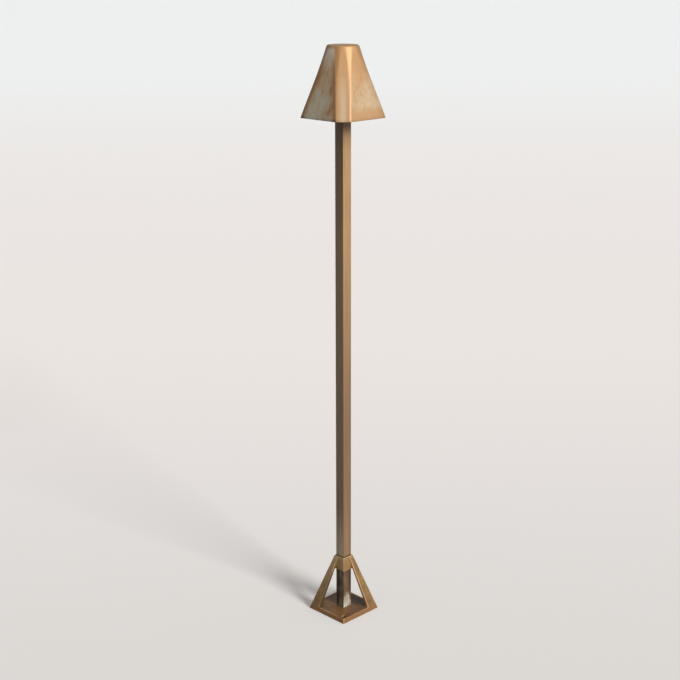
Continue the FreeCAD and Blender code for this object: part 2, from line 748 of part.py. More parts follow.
def make_hood_fixings():
    """Studs and spacers of the hood, with the washer and thumb nut on each stud."""
    stud_foot = nut_level - size.stud_tip
    for name, side in SIDES.items():
        x = stud_offset * side
        stud = doc.addObject("Part::Cylinder", f"stud_{name}")
        stud.Label = f"stud_{name}"
        stud.setExpression("Radius", size.stud_radius.formula)
        stud.setExpression("Height", (boss_floor + size.stud_grip - stud_foot).formula)
        place(stud, x, 0, stud_foot)
        spacer = make_ring(f"spacer_{name}", size.spacer_radius, size.stud_clear, boss_floor - bracket_top)
        place(spacer, x, 0, bracket_top)
        washer = make_ring(f"washer_{name}", size.washer_radius, size.washer_clear, size.washer_depth)
        place(washer, x, 0, washer_level)
        nut = make_ring(f"thumb_nut_{name}", size.nut_radius, size.nut_fit, size.nut_height)
        add_knurl(nut)
        place(nut, x, 0, nut_level)


def make_ring(label, radius, gap, height):
    """Makes a plain ring that clears the stud by the given gap."""
    bore = size.stud_radius + gap
    return turned_body(label, [(bore, 0), (radius, 0), (radius, height), (bore, height)])


def add_knurl(nut):
    """Cuts the grip grooves all round a thumb nut."""
    groove = sketch_on(nut, "XY_Plane", "groove", size.nut_height)
    draw_outline(groove, [
        (size.nut_radius - size.knurl_depth, 0),
        (size.nut_radius + size.knurl_depth, -size.knurl_depth),
        (size.nut_radius + size.knurl_depth, size.knurl_depth)])
    cut = add_straight(nut, "Pocket", groove, size.nut_height)
    pattern = nut.newObject("PartDesign::PolarPattern", "knurl")
    pattern.Originals = [cut]
    pattern.Axis = (groove, ["N_Axis"])
    pattern.Angle = FULL_TURN
    pattern.Occurrences = KNURLS
    nut.Tip = pattern


def check_document():
    """Stops if an object failed, or if a cut took nothing away."""
    for item in doc.Objects:
        if "Invalid" in item.State or "Error" in item.State:
            raise RuntimeError(f"{item.Name} ({item.Label}) failed: {item.State}")
        if item.TypeId in ("PartDesign::Pocket", "PartDesign::Groove"):
            if item.Shape.Volume >= item.BaseFeature.Shape.Volume - 1e-6:
                raise RuntimeError(f"{item.Name} cuts nothing")


def export_parts():
    """Writes each sub-part that no other object is built from to its own file."""
    os.makedirs("parts", exist_ok=True)
    bodies = [item for item in doc.Objects if item.TypeId == "PartDesign::Body"]
    solids = [item for item in doc.Objects if item.TypeId in ("Part::Cylinder", "Part::Cut")]
    for item in bodies + solids:
        if any(user.TypeId in ("Part::Cut", "Part::Common") for user in item.InList):
            continue
        if item.Shape.isNull() or not item.Shape.isValid():
            raise RuntimeError(f"{item.Label} has no valid shape")
        item.Shape.exportStep(f"parts/{item.Label}.step")
        print(f"{item.Label}: {len(item.Shape.Solids)} solid, {item.Shape.Volume:.1f} mm3")


make_base()
make_cable_bush()
make_post()
make_set_screws()
make_bracket()
make_hub()
make_hub_screw()
make_lampholder()
make_lampholder_screws()
make_contacts()
make_leads()
make_lamp()
make_lens()
make_seal()
make_hood()
make_hood_fixings()
doc.recompute()
check_document()
export_parts()
print(f"overall height {hood_top.value:.1f} mm")
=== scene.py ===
# %% [markdown]
# # A garden path light
# The light stands on a cast pyramid base with two corner legs. A square tube carries a cast hood, and
# under the hood sit a glass lens and a small two-pin lamp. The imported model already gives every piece
# its place and its motion, so this lesson adds what a camera would notice: softened edges, aged metal
# and calm studio light. Sizes are written in millimetres and turned into metres by one factor.

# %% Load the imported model
import json
import math
import bmesh
import bpy
from mathutils import Matrix, Vector


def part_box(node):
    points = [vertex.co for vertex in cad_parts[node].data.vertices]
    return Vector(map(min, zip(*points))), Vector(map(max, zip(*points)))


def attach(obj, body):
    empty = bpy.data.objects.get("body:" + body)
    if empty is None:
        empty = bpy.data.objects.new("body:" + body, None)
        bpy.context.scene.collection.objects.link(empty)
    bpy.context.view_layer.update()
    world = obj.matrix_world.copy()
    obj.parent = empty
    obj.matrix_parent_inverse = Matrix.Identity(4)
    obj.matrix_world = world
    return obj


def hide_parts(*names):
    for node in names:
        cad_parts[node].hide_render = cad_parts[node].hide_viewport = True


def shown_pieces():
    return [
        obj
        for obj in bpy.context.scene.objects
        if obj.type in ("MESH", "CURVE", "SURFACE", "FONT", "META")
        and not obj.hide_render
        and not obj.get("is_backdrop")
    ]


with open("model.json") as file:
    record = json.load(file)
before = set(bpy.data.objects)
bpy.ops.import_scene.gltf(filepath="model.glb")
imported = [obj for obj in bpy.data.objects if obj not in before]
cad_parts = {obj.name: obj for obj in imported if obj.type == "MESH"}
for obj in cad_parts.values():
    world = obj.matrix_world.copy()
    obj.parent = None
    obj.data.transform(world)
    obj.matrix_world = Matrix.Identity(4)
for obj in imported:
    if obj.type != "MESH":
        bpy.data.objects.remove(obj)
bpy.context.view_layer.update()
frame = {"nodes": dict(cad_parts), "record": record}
MM = 0.001

# %% [markdown]
# ## Camera
# A camera that is set by eye never quite lines up. This one was worked out from the corners of the
# base, the post and the hood: where they lie in the picture fixes the distance, the height, the tilt
# and the lens. The last two angles are the small turn and roll that centre the slim post.

# %% Camera
SENSOR, IMAGE, FAR_CLIP = 36.0, 680, 200
view_distance, view_height, focal_pixels = 1478.35, 783.9, 1317.5
view_side, view_tilt, view_turn, view_roll = 45.0, 16.459, 0.151, -0.12


def add_object(name, data):
    """Puts mesh, lamp or camera data into the scene."""
    made = bpy.data.objects.new(name, data)
    bpy.context.scene.collection.objects.link(made)
    return made


lens_data = bpy.data.cameras.new("camera")
lens_data.sensor_width = SENSOR
lens_data.lens = focal_pixels / IMAGE * SENSOR
lens_data.clip_end = FAR_CLIP
camera = add_object("camera", lens_data)
view_angle = math.radians(view_side)
right, front = math.sin(view_angle) * view_distance, math.cos(view_angle) * view_distance
standpoint = Vector((right, -front, view_height)) * MM
turn = Matrix.Rotation(math.radians(view_side + view_turn), 4, "Z")
tilt = Matrix.Rotation(math.radians(90 - view_tilt), 4, "X")
roll = Matrix.Rotation(math.radians(view_roll), 4, "Z")
camera.matrix_world = Matrix.Translation(standpoint) @ turn @ tilt @ roll
bpy.context.scene.camera = camera
bpy.context.scene.view_settings.view_transform = "Standard"
print("camera at", [round(value, 3) for value in standpoint], "lens", round(lens_data.lens, 2))

# %% [markdown]
# ## Shader sums
# Node trees are easier to read when their maths looks like maths. The first class wraps one output
# socket, so that `1 - mask` or `dirt * 0.5 + dust` adds the Math nodes by itself, `height.step(2, 5)`
# is a soft step and `rust.mix(a, b)` blends two colours. Every other node comes from one method of the
# second class, which takes its settings first and then what goes into its sockets.

# %% A socket that can be added and multiplied
class Signal:
    """One output of a node tree that takes part in plain arithmetic."""

    def __init__(self, tree, socket):
        self.tree = tree
        self.socket = socket

    def __add__(self, other):
        return self.tree.math_node("ADD", self, other)

    def __sub__(self, other):
        return self.tree.math_node("SUBTRACT", self, other)

    def __rsub__(self, other):
        return self.tree.math_node("SUBTRACT", other, self)

    def __mul__(self, other):
        return self.tree.math_node("MULTIPLY", self, other)

    def __abs__(self):
        return self.tree.math_node("ABSOLUTE", self)

    __radd__ = __add__
    __rmul__ = __mul__

    def step(self, start, end):
        """A soft step: 0 up to the start and 1 from the end on. The start may be the larger one."""
        smooth = {"interpolation_type": "SMOOTHSTEP"}
        return self.tree.node("MapRange", smooth, {"Value": self, "From Min": start, "From Max": end})

    def mix(self, first, second):
        """Goes from the first colour to the second as this value goes from 0 to 1."""
        return self.tree.node("Mix", {"data_type": "RGBA"}, {0: self, 6: first, 7: second}, output=2)


# %% A node tree that is written in one line per node
class Tree:
    """The nodes of a material or of the world."""

    def __init__(self, owner):
        owner.use_nodes = True
        self.owner = owner
        self.nodes = owner.node_tree.nodes
        self.links = owner.node_tree.links

    def node(self, kind, settings=None, sockets=None, output=0):
        """Adds a node and returns one of its outputs."""
        made = self.nodes.new("ShaderNode" + kind)
        for name, value in (settings or {}).items():
            setattr(made, name, value)
        for name, value in (sockets or {}).items():
            self.feed(made.inputs[name], value)
        return Signal(self, made.outputs[output])

    def feed(self, socket, value):
        """Links a signal to a socket, or sets the socket to a plain value."""
        if isinstance(value, Signal):
            self.links.new(value.socket, socket)
        else:
            socket.default_value = value

    def math_node(self, operation, *values):
        """Adds a Math node for one or two values."""
        return self.node("Math", {"operation": operation}, dict(enumerate(values)))

    def towards(self, direction, way):
        """1 where a direction points the given way, 0 across it and -1 against it."""
        return self.node("VectorMath", {"operation": "DOT_PRODUCT"}, {0: direction, 1: way}, output="Value")

    def axes(self, vector):
        """The X, Y and Z parts of a vector."""
        parts = self.node("SeparateXYZ", None, {0: vector}).socket.node
        return [Signal(self, output) for output in parts.outputs]


def paint(red, green, blue):
    """A colour given as screen values, 0 to 255, as the linear numbers that shaders use."""
    curve = [c / 255 / 12.92 if c <= 10 else ((c / 255 + 0.055) / 1.055) ** 2.4 for c in (red, green, blue)]
    return (*curve, 1.0)


print("mid grey is", [round(value, 3) for value in paint(128, 128, 128)[:3]])

# %% [markdown]
# ## Studio
# The floor is one wide pale sheet that runs past the top of the picture, so no backdrop is needed.
# Its tint drifts from warm grey near the light to a cooler white far away. It looks pale to the
# camera and in reflections. To soft bounced light it is darker, so that the shaded sides of the post
# stay dark, as they do in a large room.

# %% Floor
# The floor is so large that its reach is given in metres.
FLOOR_REACH, FLOOR_DROP = 60, 0.2 * MM

sheet = bmesh.new()
bmesh.ops.create_grid(sheet, x_segments=1, y_segments=1, size=FLOOR_REACH)
bmesh.ops.translate(sheet, vec=(0, 0, -FLOOR_DROP), verts=sheet.verts)
floor_mesh = bpy.data.meshes.new("floor")
sheet.to_mesh(floor_mesh)
sheet.free()
floor = add_object("floor", floor_mesh)
floor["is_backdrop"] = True
print("floor", [round(value, 1) for value in floor.dimensions])

# %% Floor finish
BOUNCE_GREY, FRONT_GREY = paint(84, 82, 80), paint(221, 219, 216)
WARM_WHITE, FAR_WHITE = paint(238, 232, 230), paint(242, 245, 245)


def pale_rays(tree):
    """1 for what the camera sees, straight, mirrored or through glass, and 0 for soft bounced light."""
    path = tree.node("LightPath").socket.node
    kinds = ("Camera", "Glossy", "Transmission")
    seen, glossy, through = (Signal(tree, path.outputs[f"Is {kind} Ray"]) for kind in kinds)
    return tree.node("Math", {"operation": "ADD", "use_clamp": True}, {0: seen + glossy, 1: through})


pale = Tree(bpy.data.materials.new("pale_floor"))
floor_spot = pale.node("TexCoord", output="Object")
metres_x, metres_y, _ = pale.axes(floor_spot)
away = (metres_y - metres_x) * math.sqrt(0.5)
near_tint = away.step(-0.5, 1.2).mix(FRONT_GREY, WARM_WHITE)
tint = away.step(0.8, 8.0).mix(near_tint, FAR_WHITE)
grain = pale.node("TexNoise", None, {"Vector": floor_spot, "Scale": 900.0, "Detail": 2.0})
floor_skin = pale.nodes["Principled BSDF"]
pale.feed(floor_skin.inputs["Base Color"], pale_rays(pale).mix(BOUNCE_GREY, tint))
pale.feed(floor_skin.inputs["Roughness"], grain * 0.1 + 0.85)
floor_skin.inputs["Specular IOR Level"].default_value = 0.1
floor_mesh.materials.append(pale.owner)
print("finish", pale.owner.name, len(pale.nodes), "nodes")

# %% [markdown]
# One sun stands in for a far softbox on the right. A far lamp lights the whole floor alike, and its
# wide angle gives a soft shadow. The sky is bright overhead and on the right and dark on the left,
# which is how a photographer keeps one side of a metal post bright and the other side deep.

# %% Sun
def lamp_from(name, compass, height, strength, softness):
    """Adds a far lamp from a compass angle (0 is +X, 90 is +Y) and a height above the horizon."""
    data = bpy.data.lights.new(name, "SUN")
    data.energy = strength
    data.angle = math.radians(softness)
    made = add_object(name, data)
    around, up = math.radians(compass), math.radians(height)
    level = math.cos(up)
    direction = Vector((math.cos(around) * level, math.sin(around) * level, math.sin(up)))
    made.rotation_euler = direction.to_track_quat("Z", "Y").to_euler()
    return made


key = lamp_from("key", compass=-3, height=26, strength=3.4, softness=20)
print("sun turned to", [round(math.degrees(angle)) for angle in key.rotation_euler])

# %% Sky
BRIGHT_SIDE = (0.94, 0.34, 0.0)
OVERHEAD_LIGHT, RIGHT_LIGHT, LEFT_LIGHT = 0.8, 0.5, 0.03
LIGHT_TINT, WALL_WHITE = (1.0, 0.985, 0.965), paint(238, 241, 241)

world = bpy.data.worlds.new("studio")
bpy.context.scene.world = world
sky = Tree(world)
looking = sky.node("TexCoord", output="Generated")
rightward = sky.towards(looking, BRIGHT_SIDE).step(-0.1, 0.95)
upward = sky.axes(looking)[2]
overhead = upward.step(0.5, 0.85)
level = sky.math_node("MAXIMUM", overhead * OVERHEAD_LIGHT, rightward * RIGHT_LIGHT + LEFT_LIGHT)
light = sky.node("VectorMath", {"operation": "SCALE"}, {0: LIGHT_TINT, "Scale": level})
wall = upward.step(0.5, 0.3) * pale_rays(sky)
sky.feed(sky.nodes["Background"].inputs["Color"], wall.mix(light, WALL_WHITE))
print("lights:", key.name, "and", world.name)

# %% [markdown]
# ## Aged bronze
# Outdoor bronze is never one colour. Where hands and rain polish it, it stays golden; elsewhere it
# browns, and a chalky grey-green film grows on the faces turned away from the sun. Each of these is a
# colour, and a mask made of noise decides where it lies. Some masks also paint shade, highlights and
# reflections into the colour. The film is dull, so it also lowers the metal share and raises the
# roughness. Everything reads object coordinates in millimetres.

# %% Coordinates and noise for metal
SHADED_SIDE = (-0.5, -0.86, 0.0)


def new_finish(name):
    """A material with its object coordinates in millimetres and the direction of its faces."""
    finish = Tree(bpy.data.materials.new(name))
    finish.skin = finish.nodes["Principled BSDF"]
    metres = finish.node("TexCoord", output="Object")
    finish.facing = Signal(finish, metres.socket.node.outputs["Normal"])
    finish.place = finish.node("VectorMath", {"operation": "SCALE"}, {0: metres, "Scale": 1 / MM})
    return finish


def shaded_side(finish):
    """1 on faces turned to the left, away from the sun, and less towards the back. Finishes put film, painted
    shade and a painted reflection there.
    """
    return finish.towards(finish.facing, SHADED_SIDE).step(0.2, 0.8)


def speckle(finish, spacing, detail=4.0, stretch=(1, 1, 1), shift=0.0):
    """Cloudy noise whose patches are about the given number of millimetres apart."""
    sizes = [1 / (spacing * share) for share in stretch]
    centred = {"Vector": finish.place, "Location": (shift, shift, shift), "Scale": sizes}
    mapped = finish.node("Mapping", None, centred)
    return finish.node("TexNoise", None, {"Vector": mapped, "Scale": 1.0, "Detail": detail, "Roughness": 0.6})


def dress(finish, colour, roughness, metallic, bump=None, depth=0.1):
    """Feeds the shader. Depth is the height of the bump in millimetres."""
    finish.feed(finish.skin.inputs["Base Color"], colour)
    finish.feed(finish.skin.inputs["Roughness"], roughness)
    finish.feed(finish.skin.inputs["Metallic"], metallic)
    if bump is not None:
        relief = finish.node("Bump", None, {"Strength": 1.0, "Distance": depth * MM, "Height": bump})
        finish.feed(finish.skin.inputs["Normal"], relief)
    print("finish", finish.owner.name, len(finish.nodes), "nodes")
    return finish.owner


def span(node):
    """Lowest and highest corner of a node in millimetres."""
    low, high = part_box(node)
    return low / MM, high / MM


print("the post reaches", round(span("post")[1].z, 1), "mm")

# %% [markdown]
# ## Hood bronze
# The hood is the piece that rain reaches first. Its shaded left side carries most of the film, which is
# partly patina and partly a painted reflection: it keeps clear of the edges, thins out about half way up
# and stops below the round top. The right side is only mottled, and the facets are hazed along their
# middle. Painted shade darkens the shaded side's browning and edges, the rim and the outer corners. All
# of this follows the hood's own shape, so the masks are built from the height and from the distance to
# the nearest edge.

# %% Hood bronze: where the film and its painted reflection lie
HOOD_LOW, HOOD_HIGH = (corner.z for corner in span("hood"))
# How far from the middle of a side its edge lies, in millimetres.
EDGE_AT_RIM, EDGE_AT_TOP = 27.5, 7.2
# The share of the height at which the film is thinnest.
BARE_BAND = 0.58

hood_bronze = new_finish("hood_bronze")
x, y, z = hood_bronze.axes(hood_bronze.place)
lean_x, lean_y, lean_z = hood_bronze.axes(hood_bronze.facing)
height = hood_bronze.node("MapRange", None, {"Value": z, "From Min": HOOD_LOW, "From Max": HOOD_HIGH})
on_shaded_side = shaded_side(hood_bronze)
facet = abs(lean_x * lean_y).step(0.2, 0.4)
across = hood_bronze.math_node("MINIMUM", abs(x), abs(y))
to_edge = EDGE_AT_RIM - height * (EDGE_AT_RIM - EDGE_AT_TOP) - across
clouds = speckle(hood_bronze, 20, 3, (1, 1, 1.8), shift=5)
flecks = speckle(hood_bronze, 4, 5, shift=9)
drips = speckle(hood_bronze, 6, 4, (1, 1, 3))
# On the shaded side the pale film is partly patina and partly a painted reflection of the pale room.
haze_and_reflection = (clouds * 0.7 + drips * 0.3).step(0.34, 0.6) * to_edge.step(1.5, 11)
haze_and_reflection = haze_and_reflection * (1 - abs(height - BARE_BAND).step(0.28, 0.06) * 0.5)
haze_and_reflection = haze_and_reflection + height.step(0.68, 0.9) * to_edge.step(0.5, 5) * (1 - haze_and_reflection) * 0.7
haze_and_reflection = haze_and_reflection * height.step(1.0, 0.93)
mottle = (clouds * 0.6 + flecks * 0.4 + y.step(-6, 16) * 0.12).step(0.4, 0.64)
mottle = mottle * height.step(0.8, 0.3) * height.step(0.08, 0.2)
middle = abs(abs(x) - abs(y)).step(8, 1) * height.step(0.8, 0.2)
film_and_painted_light = on_shaded_side * haze_and_reflection * 0.9 + (1 - on_shaded_side) * ((1 - facet) * mottle * 0.4 + facet * middle * 0.4)
print("film on a hood from", round(HOOD_LOW, 1), "to", round(HOOD_HIGH, 1), "mm")

# %% Hood bronze: colours
# A dark line of painted shade follows the rim, stronger on the shaded side: how high it reaches, and up to
# where it is full.
RIM_SHADE_LINE = (3.7, 1.3)

gold = height.mix(paint(177, 138, 96), paint(185, 141, 93))
browned = (drips * 0.5 + clouds * 0.5).step(0.52, 0.34)
# Browning lies at random, and is heavier on the shaded side as painted shade.
metal = (browned * (on_shaded_side * 0.45 + 0.25)).mix(gold, paint(146, 102, 64))
# Painted shade darkens the shaded side near its edges, where the round corners turn away from the light.
painted_edge_shade = to_edge.step(8, 1) * on_shaded_side
metal = (painted_edge_shade * 0.7).mix(metal, paint(138, 96, 58))
flat_top = lean_z.step(0.6, 0.95)
metal = (flat_top * 0.7).mix(metal, paint(136, 104, 76))
# Painted shade where the sides turn away at the hood's left and right outline, more towards the top.
shaded_outer_corners = (abs(x + y) + height * 42).step(56, 67)
metal = (shaded_outer_corners * (height * 0.3 + 0.25)).mix(metal, paint(112, 80, 50))
rim_shade_line = (z - HOOD_LOW).step(*RIM_SHADE_LINE) * (on_shaded_side * 0.7 + 0.15)
metal = rim_shade_line.mix(metal, paint(78, 48, 34))
# The pale film colour also paints that reflection.
chalk_and_reflection = height.step(0.55, 0.9).mix(paint(194, 189, 168), paint(228, 214, 198))
fine = speckle(hood_bronze, 0.9, 3)
dress(
    hood_bronze, film_and_painted_light.mix(metal, chalk_and_reflection), roughness=film_and_painted_light * 0.12 + drips * 0.1 + 0.46,
    metallic=0.3 - film_and_painted_light * 0.2, bump=fine * 0.5 + flecks * 0.5, depth=0.05)

# %% [markdown]
# ## Base bronze
# The base lies low, where rain splashes it, so it is browner than the hood. Its raised edges turn lighter,
# partly as metal rubbed by hands and boots and partly as a painted highlight, and dirt stays in its
# hollows. Painted shadow darkens the back of its sunk floor and a patch beside the right leg, and the
# legs' inner flanks get painted light and shade. Where an edge or a hollow is could be painted by hand.
# Here the mesh itself stores how far each point stands out, in an attribute called wear, and the finish
# reads it.

# %% Base bronze: cast tone, sunk floor, rim and painted floor shadow
BASE_HEIGHT = round(span("base_casting")[1].z, 3)

base_bronze = new_finish("base_bronze")
x, y, z = base_bronze.axes(base_bronze.place)
lean_x, lean_y, lean_z = base_bronze.axes(base_bronze.facing)
clouds = speckle(base_bronze, 18, 4, shift=3)
scuffs = speckle(base_bronze, 4, 5, shift=7)
runs = speckle(base_bronze, 5, 4, (1, 1, 5))
tone = (clouds * 0.4 + scuffs * 0.25 + runs * 0.35).step(0.36, 0.64)
metal = tone.mix(paint(108, 79, 46), paint(144, 111, 68))
dulled = shaded_side(base_bronze) * z.step(20, 62) * (tone * 0.4 + 0.3)
metal = dulled.mix(metal, paint(182, 157, 119))
sunk_floor = lean_z.step(0.8, 0.95) * z.step(10, 5.2)
floor_brown = tone.mix(paint(94, 62, 36), paint(130, 92, 55))
metal = (sunk_floor * 0.75).mix(metal, floor_brown)
# Painted shadow darkens the back of the sunk floor, behind the post and legs.
back_floor_shadow = sunk_floor * (y - x).step(-2, 22)
metal = (back_floor_shadow * 0.5).mix(metal, paint(62, 48, 38))
rim = z.step(7, 4.5) * (1 - sunk_floor)
metal = (rim * 0.5).mix(metal, paint(130, 84, 42))
across = base_bronze.math_node("MAXIMUM", abs(x), abs(y))
collar = across.step(9.4, 8.4) * z.step(50, 56)
metal = (collar * 0.25).mix(metal, paint(194, 158, 104))
# Painted shadow of the right leg lies on the floor to the right of the post.
behind_post = y * 1.375 - x * 0.625
leg_shadow_patch = sunk_floor * (x + y).step(5, 14) * behind_post.step(4, 10)
metal = (leg_shadow_patch * 0.6).mix(metal, paint(36, 26, 20))
print("tones of a base", BASE_HEIGHT, "mm high")

# %% Base bronze: wear, painted edge highlights and painted light on the legs' inner flanks
wear = base_bronze.node("Attribute", {"attribute_name": "wear"}, output="Fac")
# Raised edges turn lighter, partly as rubbed metal and partly as a painted highlight.
rubbed_and_highlit = wear.step(0.15, 0.7) * clouds.step(0.3, 0.6)
metal = (rubbed_and_highlit * 0.6).mix(metal, paint(206, 172, 122))
# Next to the collar the hollows and left flank are painted less dark and the right flank lighter, as painted
# light in the notch.
by_collar = z.step(46, 56)
hollows = wear.step(-0.08, -0.5) * (0.8 - by_collar * 0.6)
metal = hollows.mix(metal, paint(46, 32, 22))
# The left leg's inner flank is painted dark as painted shade.
shaded_left_flank = lean_x.step(0.2, 0.6) * x.step(-2, -5)
metal = (shaded_left_flank * (0.75 - by_collar * 0.6)).mix(metal, paint(64, 46, 28))
# The right leg's inner flank, which lies in shade, is painted light.
lit_right_flank = lean_y.step(-0.2, -0.6) * y.step(2, 5)
metal = (lit_right_flank * (0.7 + by_collar * 0.2)).mix(metal, paint(220, 174, 116))
fine = speckle(base_bronze, 0.9, 3)
dress(
    base_bronze, metal, roughness=scuffs * 0.2 + 0.4, metallic=0.25 + tone * 0.1,
    bump=fine * 0.5 + scuffs * 0.5, depth=0.05)

# %% [markdown]
# ## Post bronze
# Drawn tube has marks that run lengthwise: streaks from the die, and later the paths of rain. One noise
# that is stretched along the height gives both. The left face gets painted shade, paler just above the
# base, the metal darkens towards the foot, and painted shadow lies under the hood. Inside the base the
# tube is sooty and carries painted shade, and a pale band at its foot is a painted reflection.

# %% Post bronze: the drawn tube
post_bronze = new_finish("post_bronze")
x, y, z = post_bronze.axes(post_bronze.place)
streaks = speckle(post_bronze, 2.2, 3, (1, 1, 80))
clouds = speckle(post_bronze, 20, 4, (1, 1, 5))
on_shaded_side = shaded_side(post_bronze)
tone = streaks * 0.6 + clouds * 0.4
metal = z.step(220, 540).mix(paint(130, 102, 74), paint(176, 140, 97))
# The left face gets painted shade, paler just above the base.
film_and_painted_light = z.step(150, 76).mix(paint(120, 102, 77), paint(176, 162, 132))
metal = (on_shaded_side * 0.85).mix(metal, film_and_painted_light)
dark_streaks, pale_streaks = tone.step(0.52, 0.36), tone.step(0.54, 0.68)
metal = (dark_streaks * 0.5).mix(metal, paint(104, 76, 50))
metal = (pale_streaks * 0.3).mix(metal, paint(196, 172, 136))
# More painted shade high on the left face, below the hood.
painted_shade_upper_left = z.step(420, 590) * on_shaded_side
metal = (painted_shade_upper_left * 0.5).mix(metal, paint(58, 36, 18))
# Painted shadow of the hood on the top of the post.
painted_hood_shadow = z.step(560, 606)
metal = (painted_hood_shadow * 0.5).mix(metal, paint(62, 44, 28))
corner = (abs(x) + abs(y)).step(11.6, 12.6)
metal = (corner * on_shaded_side * 0.6).mix(metal, paint(116, 78, 48))
print("streaks on a post of", [round(value, 1) for value in span("post")[1] - span("post")[0]], "mm")

# %% Post bronze: soot, painted shade and a painted reflection at the foot
inside_base = z.step(BASE_HEIGHT + 1.5, BASE_HEIGHT - 1.5)
patches = speckle(post_bronze, 5, 5, (1, 1, 3), shift=4)
blotches = streaks * 0.5 + patches * 0.5
# Inside the base the tube is darkened by blotchy soot and by painted shade, more on the shaded side.
soot_and_shade = blotches.step(0.62, 0.4) * 0.5 + 0.25
metal = (inside_base * (soot_and_shade + on_shaded_side * 0.25)).mix(metal, paint(46, 34, 24))
joint_line = abs(z - (BASE_HEIGHT + 0.2)).step(1.6, 0.6)
metal = (joint_line * 0.7).mix(metal, paint(40, 28, 18))
# A pale band at the foot, mostly on the lit faces, is a painted reflection; it is also less metallic.
glint_height = blotches.step(0.4, 0.62) * 22 + 2
pale_foot_glint = (z - glint_height).step(8, -6) * (streaks * 0.7 + 0.25)
pale_foot_glint = (pale_foot_glint + z.step(17, 8) * 0.25) * (1 - on_shaded_side * 0.75)
metal = pale_foot_glint.mix(metal, paint(206, 198, 182))
fine = speckle(post_bronze, 0.4, 2, (1, 1, 20))
dress(
    post_bronze, metal, roughness=streaks * 0.2 + 0.4, metallic=0.25 - pale_foot_glint * 0.25, bump=fine, depth=0.015)

# %% [markdown]
# ## The other finishes
# The fittings under the hood are turned brass, plated brass and stainless steel. The lamp sits in a
# ceramic holder, the lens is clear glass, and the bush and seal are rubber. None of them is one flat
# colour: lathe marks, dust, faint stains and wear come from the same noise at other sizes.

# %% Metals of the fittings
def fitting_metal(name, dark, bright, rough, grain):
    """Metal off a lathe: fine rings across its axis and a few stains."""
    finish = new_finish(name)
    rings = speckle(finish, grain, 2, (12, 12, 1))
    stains = speckle(finish, 4, 4, shift=5)
    shade = (stains * 0.7 + rings * 0.3).step(0.35, 0.65)
    return dress(finish, shade.mix(dark, bright), rings * 0.15 + rough, metallic=0.9, bump=rings, depth=0.01)


turned_brass = fitting_metal("turned_brass", paint(140, 104, 56), paint(196, 158, 98), 0.28, 0.25)
plated_brass = fitting_metal("plated_brass", paint(166, 156, 136), paint(214, 204, 184), 0.22, 0.2)
steel = fitting_metal("steel", paint(138, 136, 132), paint(196, 194, 190), 0.24, 0.2)

# %% Ceramic, capsule, rubber and wire
def plain_stuff(name, dark, bright, rough, spacing, depth):
    """A dull material with faint mottling and a fine grain."""
    finish = new_finish(name)
    mottle = speckle(finish, spacing, 4)
    grain = speckle(finish, spacing * 0.08, 3)
    colour = mottle.step(0.35, 0.65).mix(dark, bright)
    return dress(finish, colour, grain * 0.15 + rough, metallic=0.0, bump=grain, depth=depth)


ceramic = plain_stuff("ceramic", paint(206, 200, 186), paint(234, 230, 220), 0.45, 3, 0.02)
capsule_skin = plain_stuff("capsule_skin", paint(226, 216, 180), paint(240, 234, 212), 0.3, 2, 0.01)
rubber = plain_stuff("rubber", paint(26, 25, 24), paint(48, 46, 44), 0.6, 2.5, 0.03)
insulation = plain_stuff("insulation", paint(58, 36, 26), paint(92, 60, 42), 0.5, 3, 0.02)

# %% Glass
GLASS_INDEX = 1.47

glass = new_finish("glass")
dust = speckle(glass, 6, 5, (1, 1, 2))
glass.skin.inputs["Transmission Weight"].default_value = 1.0
glass.skin.inputs["IOR"].default_value = GLASS_INDEX
tinge = dust.mix(paint(246, 250, 248), paint(236, 242, 240))
clear_glass = dress(glass, tinge, roughness=dust.step(0.5, 0.8) * 0.12 + 0.02, metallic=0.0)

# %% [markdown]
# ## From a form to a piece
# Every shape is built as a bmesh. The helper below writes it into an object, gives it a finish, shades
# it smoothly between edges that are nearly flat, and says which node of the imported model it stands
# for. The piece then rides on that node's body and moves when the body does.

# %% Turn a form into a piece
riders = {node: body for body, nodes in frame["record"]["behaviour"]["bodies"].items() for node in nodes}


def make_piece(form, name, node, finish, crease=35):
    """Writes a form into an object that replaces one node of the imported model."""
    mesh = bpy.data.meshes.new(name)
    form.to_mesh(mesh)
    form.free()
    mesh.materials.append(finish)
    mesh.shade_smooth()
    mesh.set_sharp_from_angle(angle=math.radians(crease))
    piece = add_object(name, mesh)
    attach(piece, riders[node])
    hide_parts(node)
    print(name, "for", node, len(mesh.polygons), "faces")
    return piece


# %% [markdown]
# Some steps exist only as modifiers. The first helper puts a form into a short-lived object, runs one
# modifier on it, reads the result back and throws the object away. It runs the voxel Remesh, which
# melts overlapping shells into one skin. The second helper adds a cutter and runs a Boolean.

# %% Helpers that borrow a modifier
def through_modifier(form, kind, settings):
    """Runs one modifier on a form and returns the result as a new form."""
    mesh = bpy.data.meshes.new("blank")
    form.to_mesh(mesh)
    form.free()
    blank = add_object("blank", mesh)
    modifier = blank.modifiers.new(kind.lower(), kind)
    for name, value in settings.items():
        setattr(modifier, name, value)
    bpy.context.view_layer.update()
    result = bpy.data.meshes.new_from_object(blank.evaluated_get(bpy.context.evaluated_depsgraph_get()))
    made = bmesh.new()
    made.from_mesh(result)
    bpy.data.objects.remove(blank)
    for used in (mesh, result):
        bpy.data.meshes.remove(used)
    return made


def carve(form, cutter):
    """Cuts one form out of another."""
    mesh = bpy.data.meshes.new("cutter")
    cutter.to_mesh(mesh)
    cutter.free()
    tool = add_object("cutter", mesh)
    settings = {"operation": "DIFFERENCE", "solver": "EXACT", "use_self": True, "object": tool}
    made = through_modifier(form, "BOOLEAN", settings)
    bpy.data.objects.remove(tool)
    bpy.data.meshes.remove(mesh)
    return made


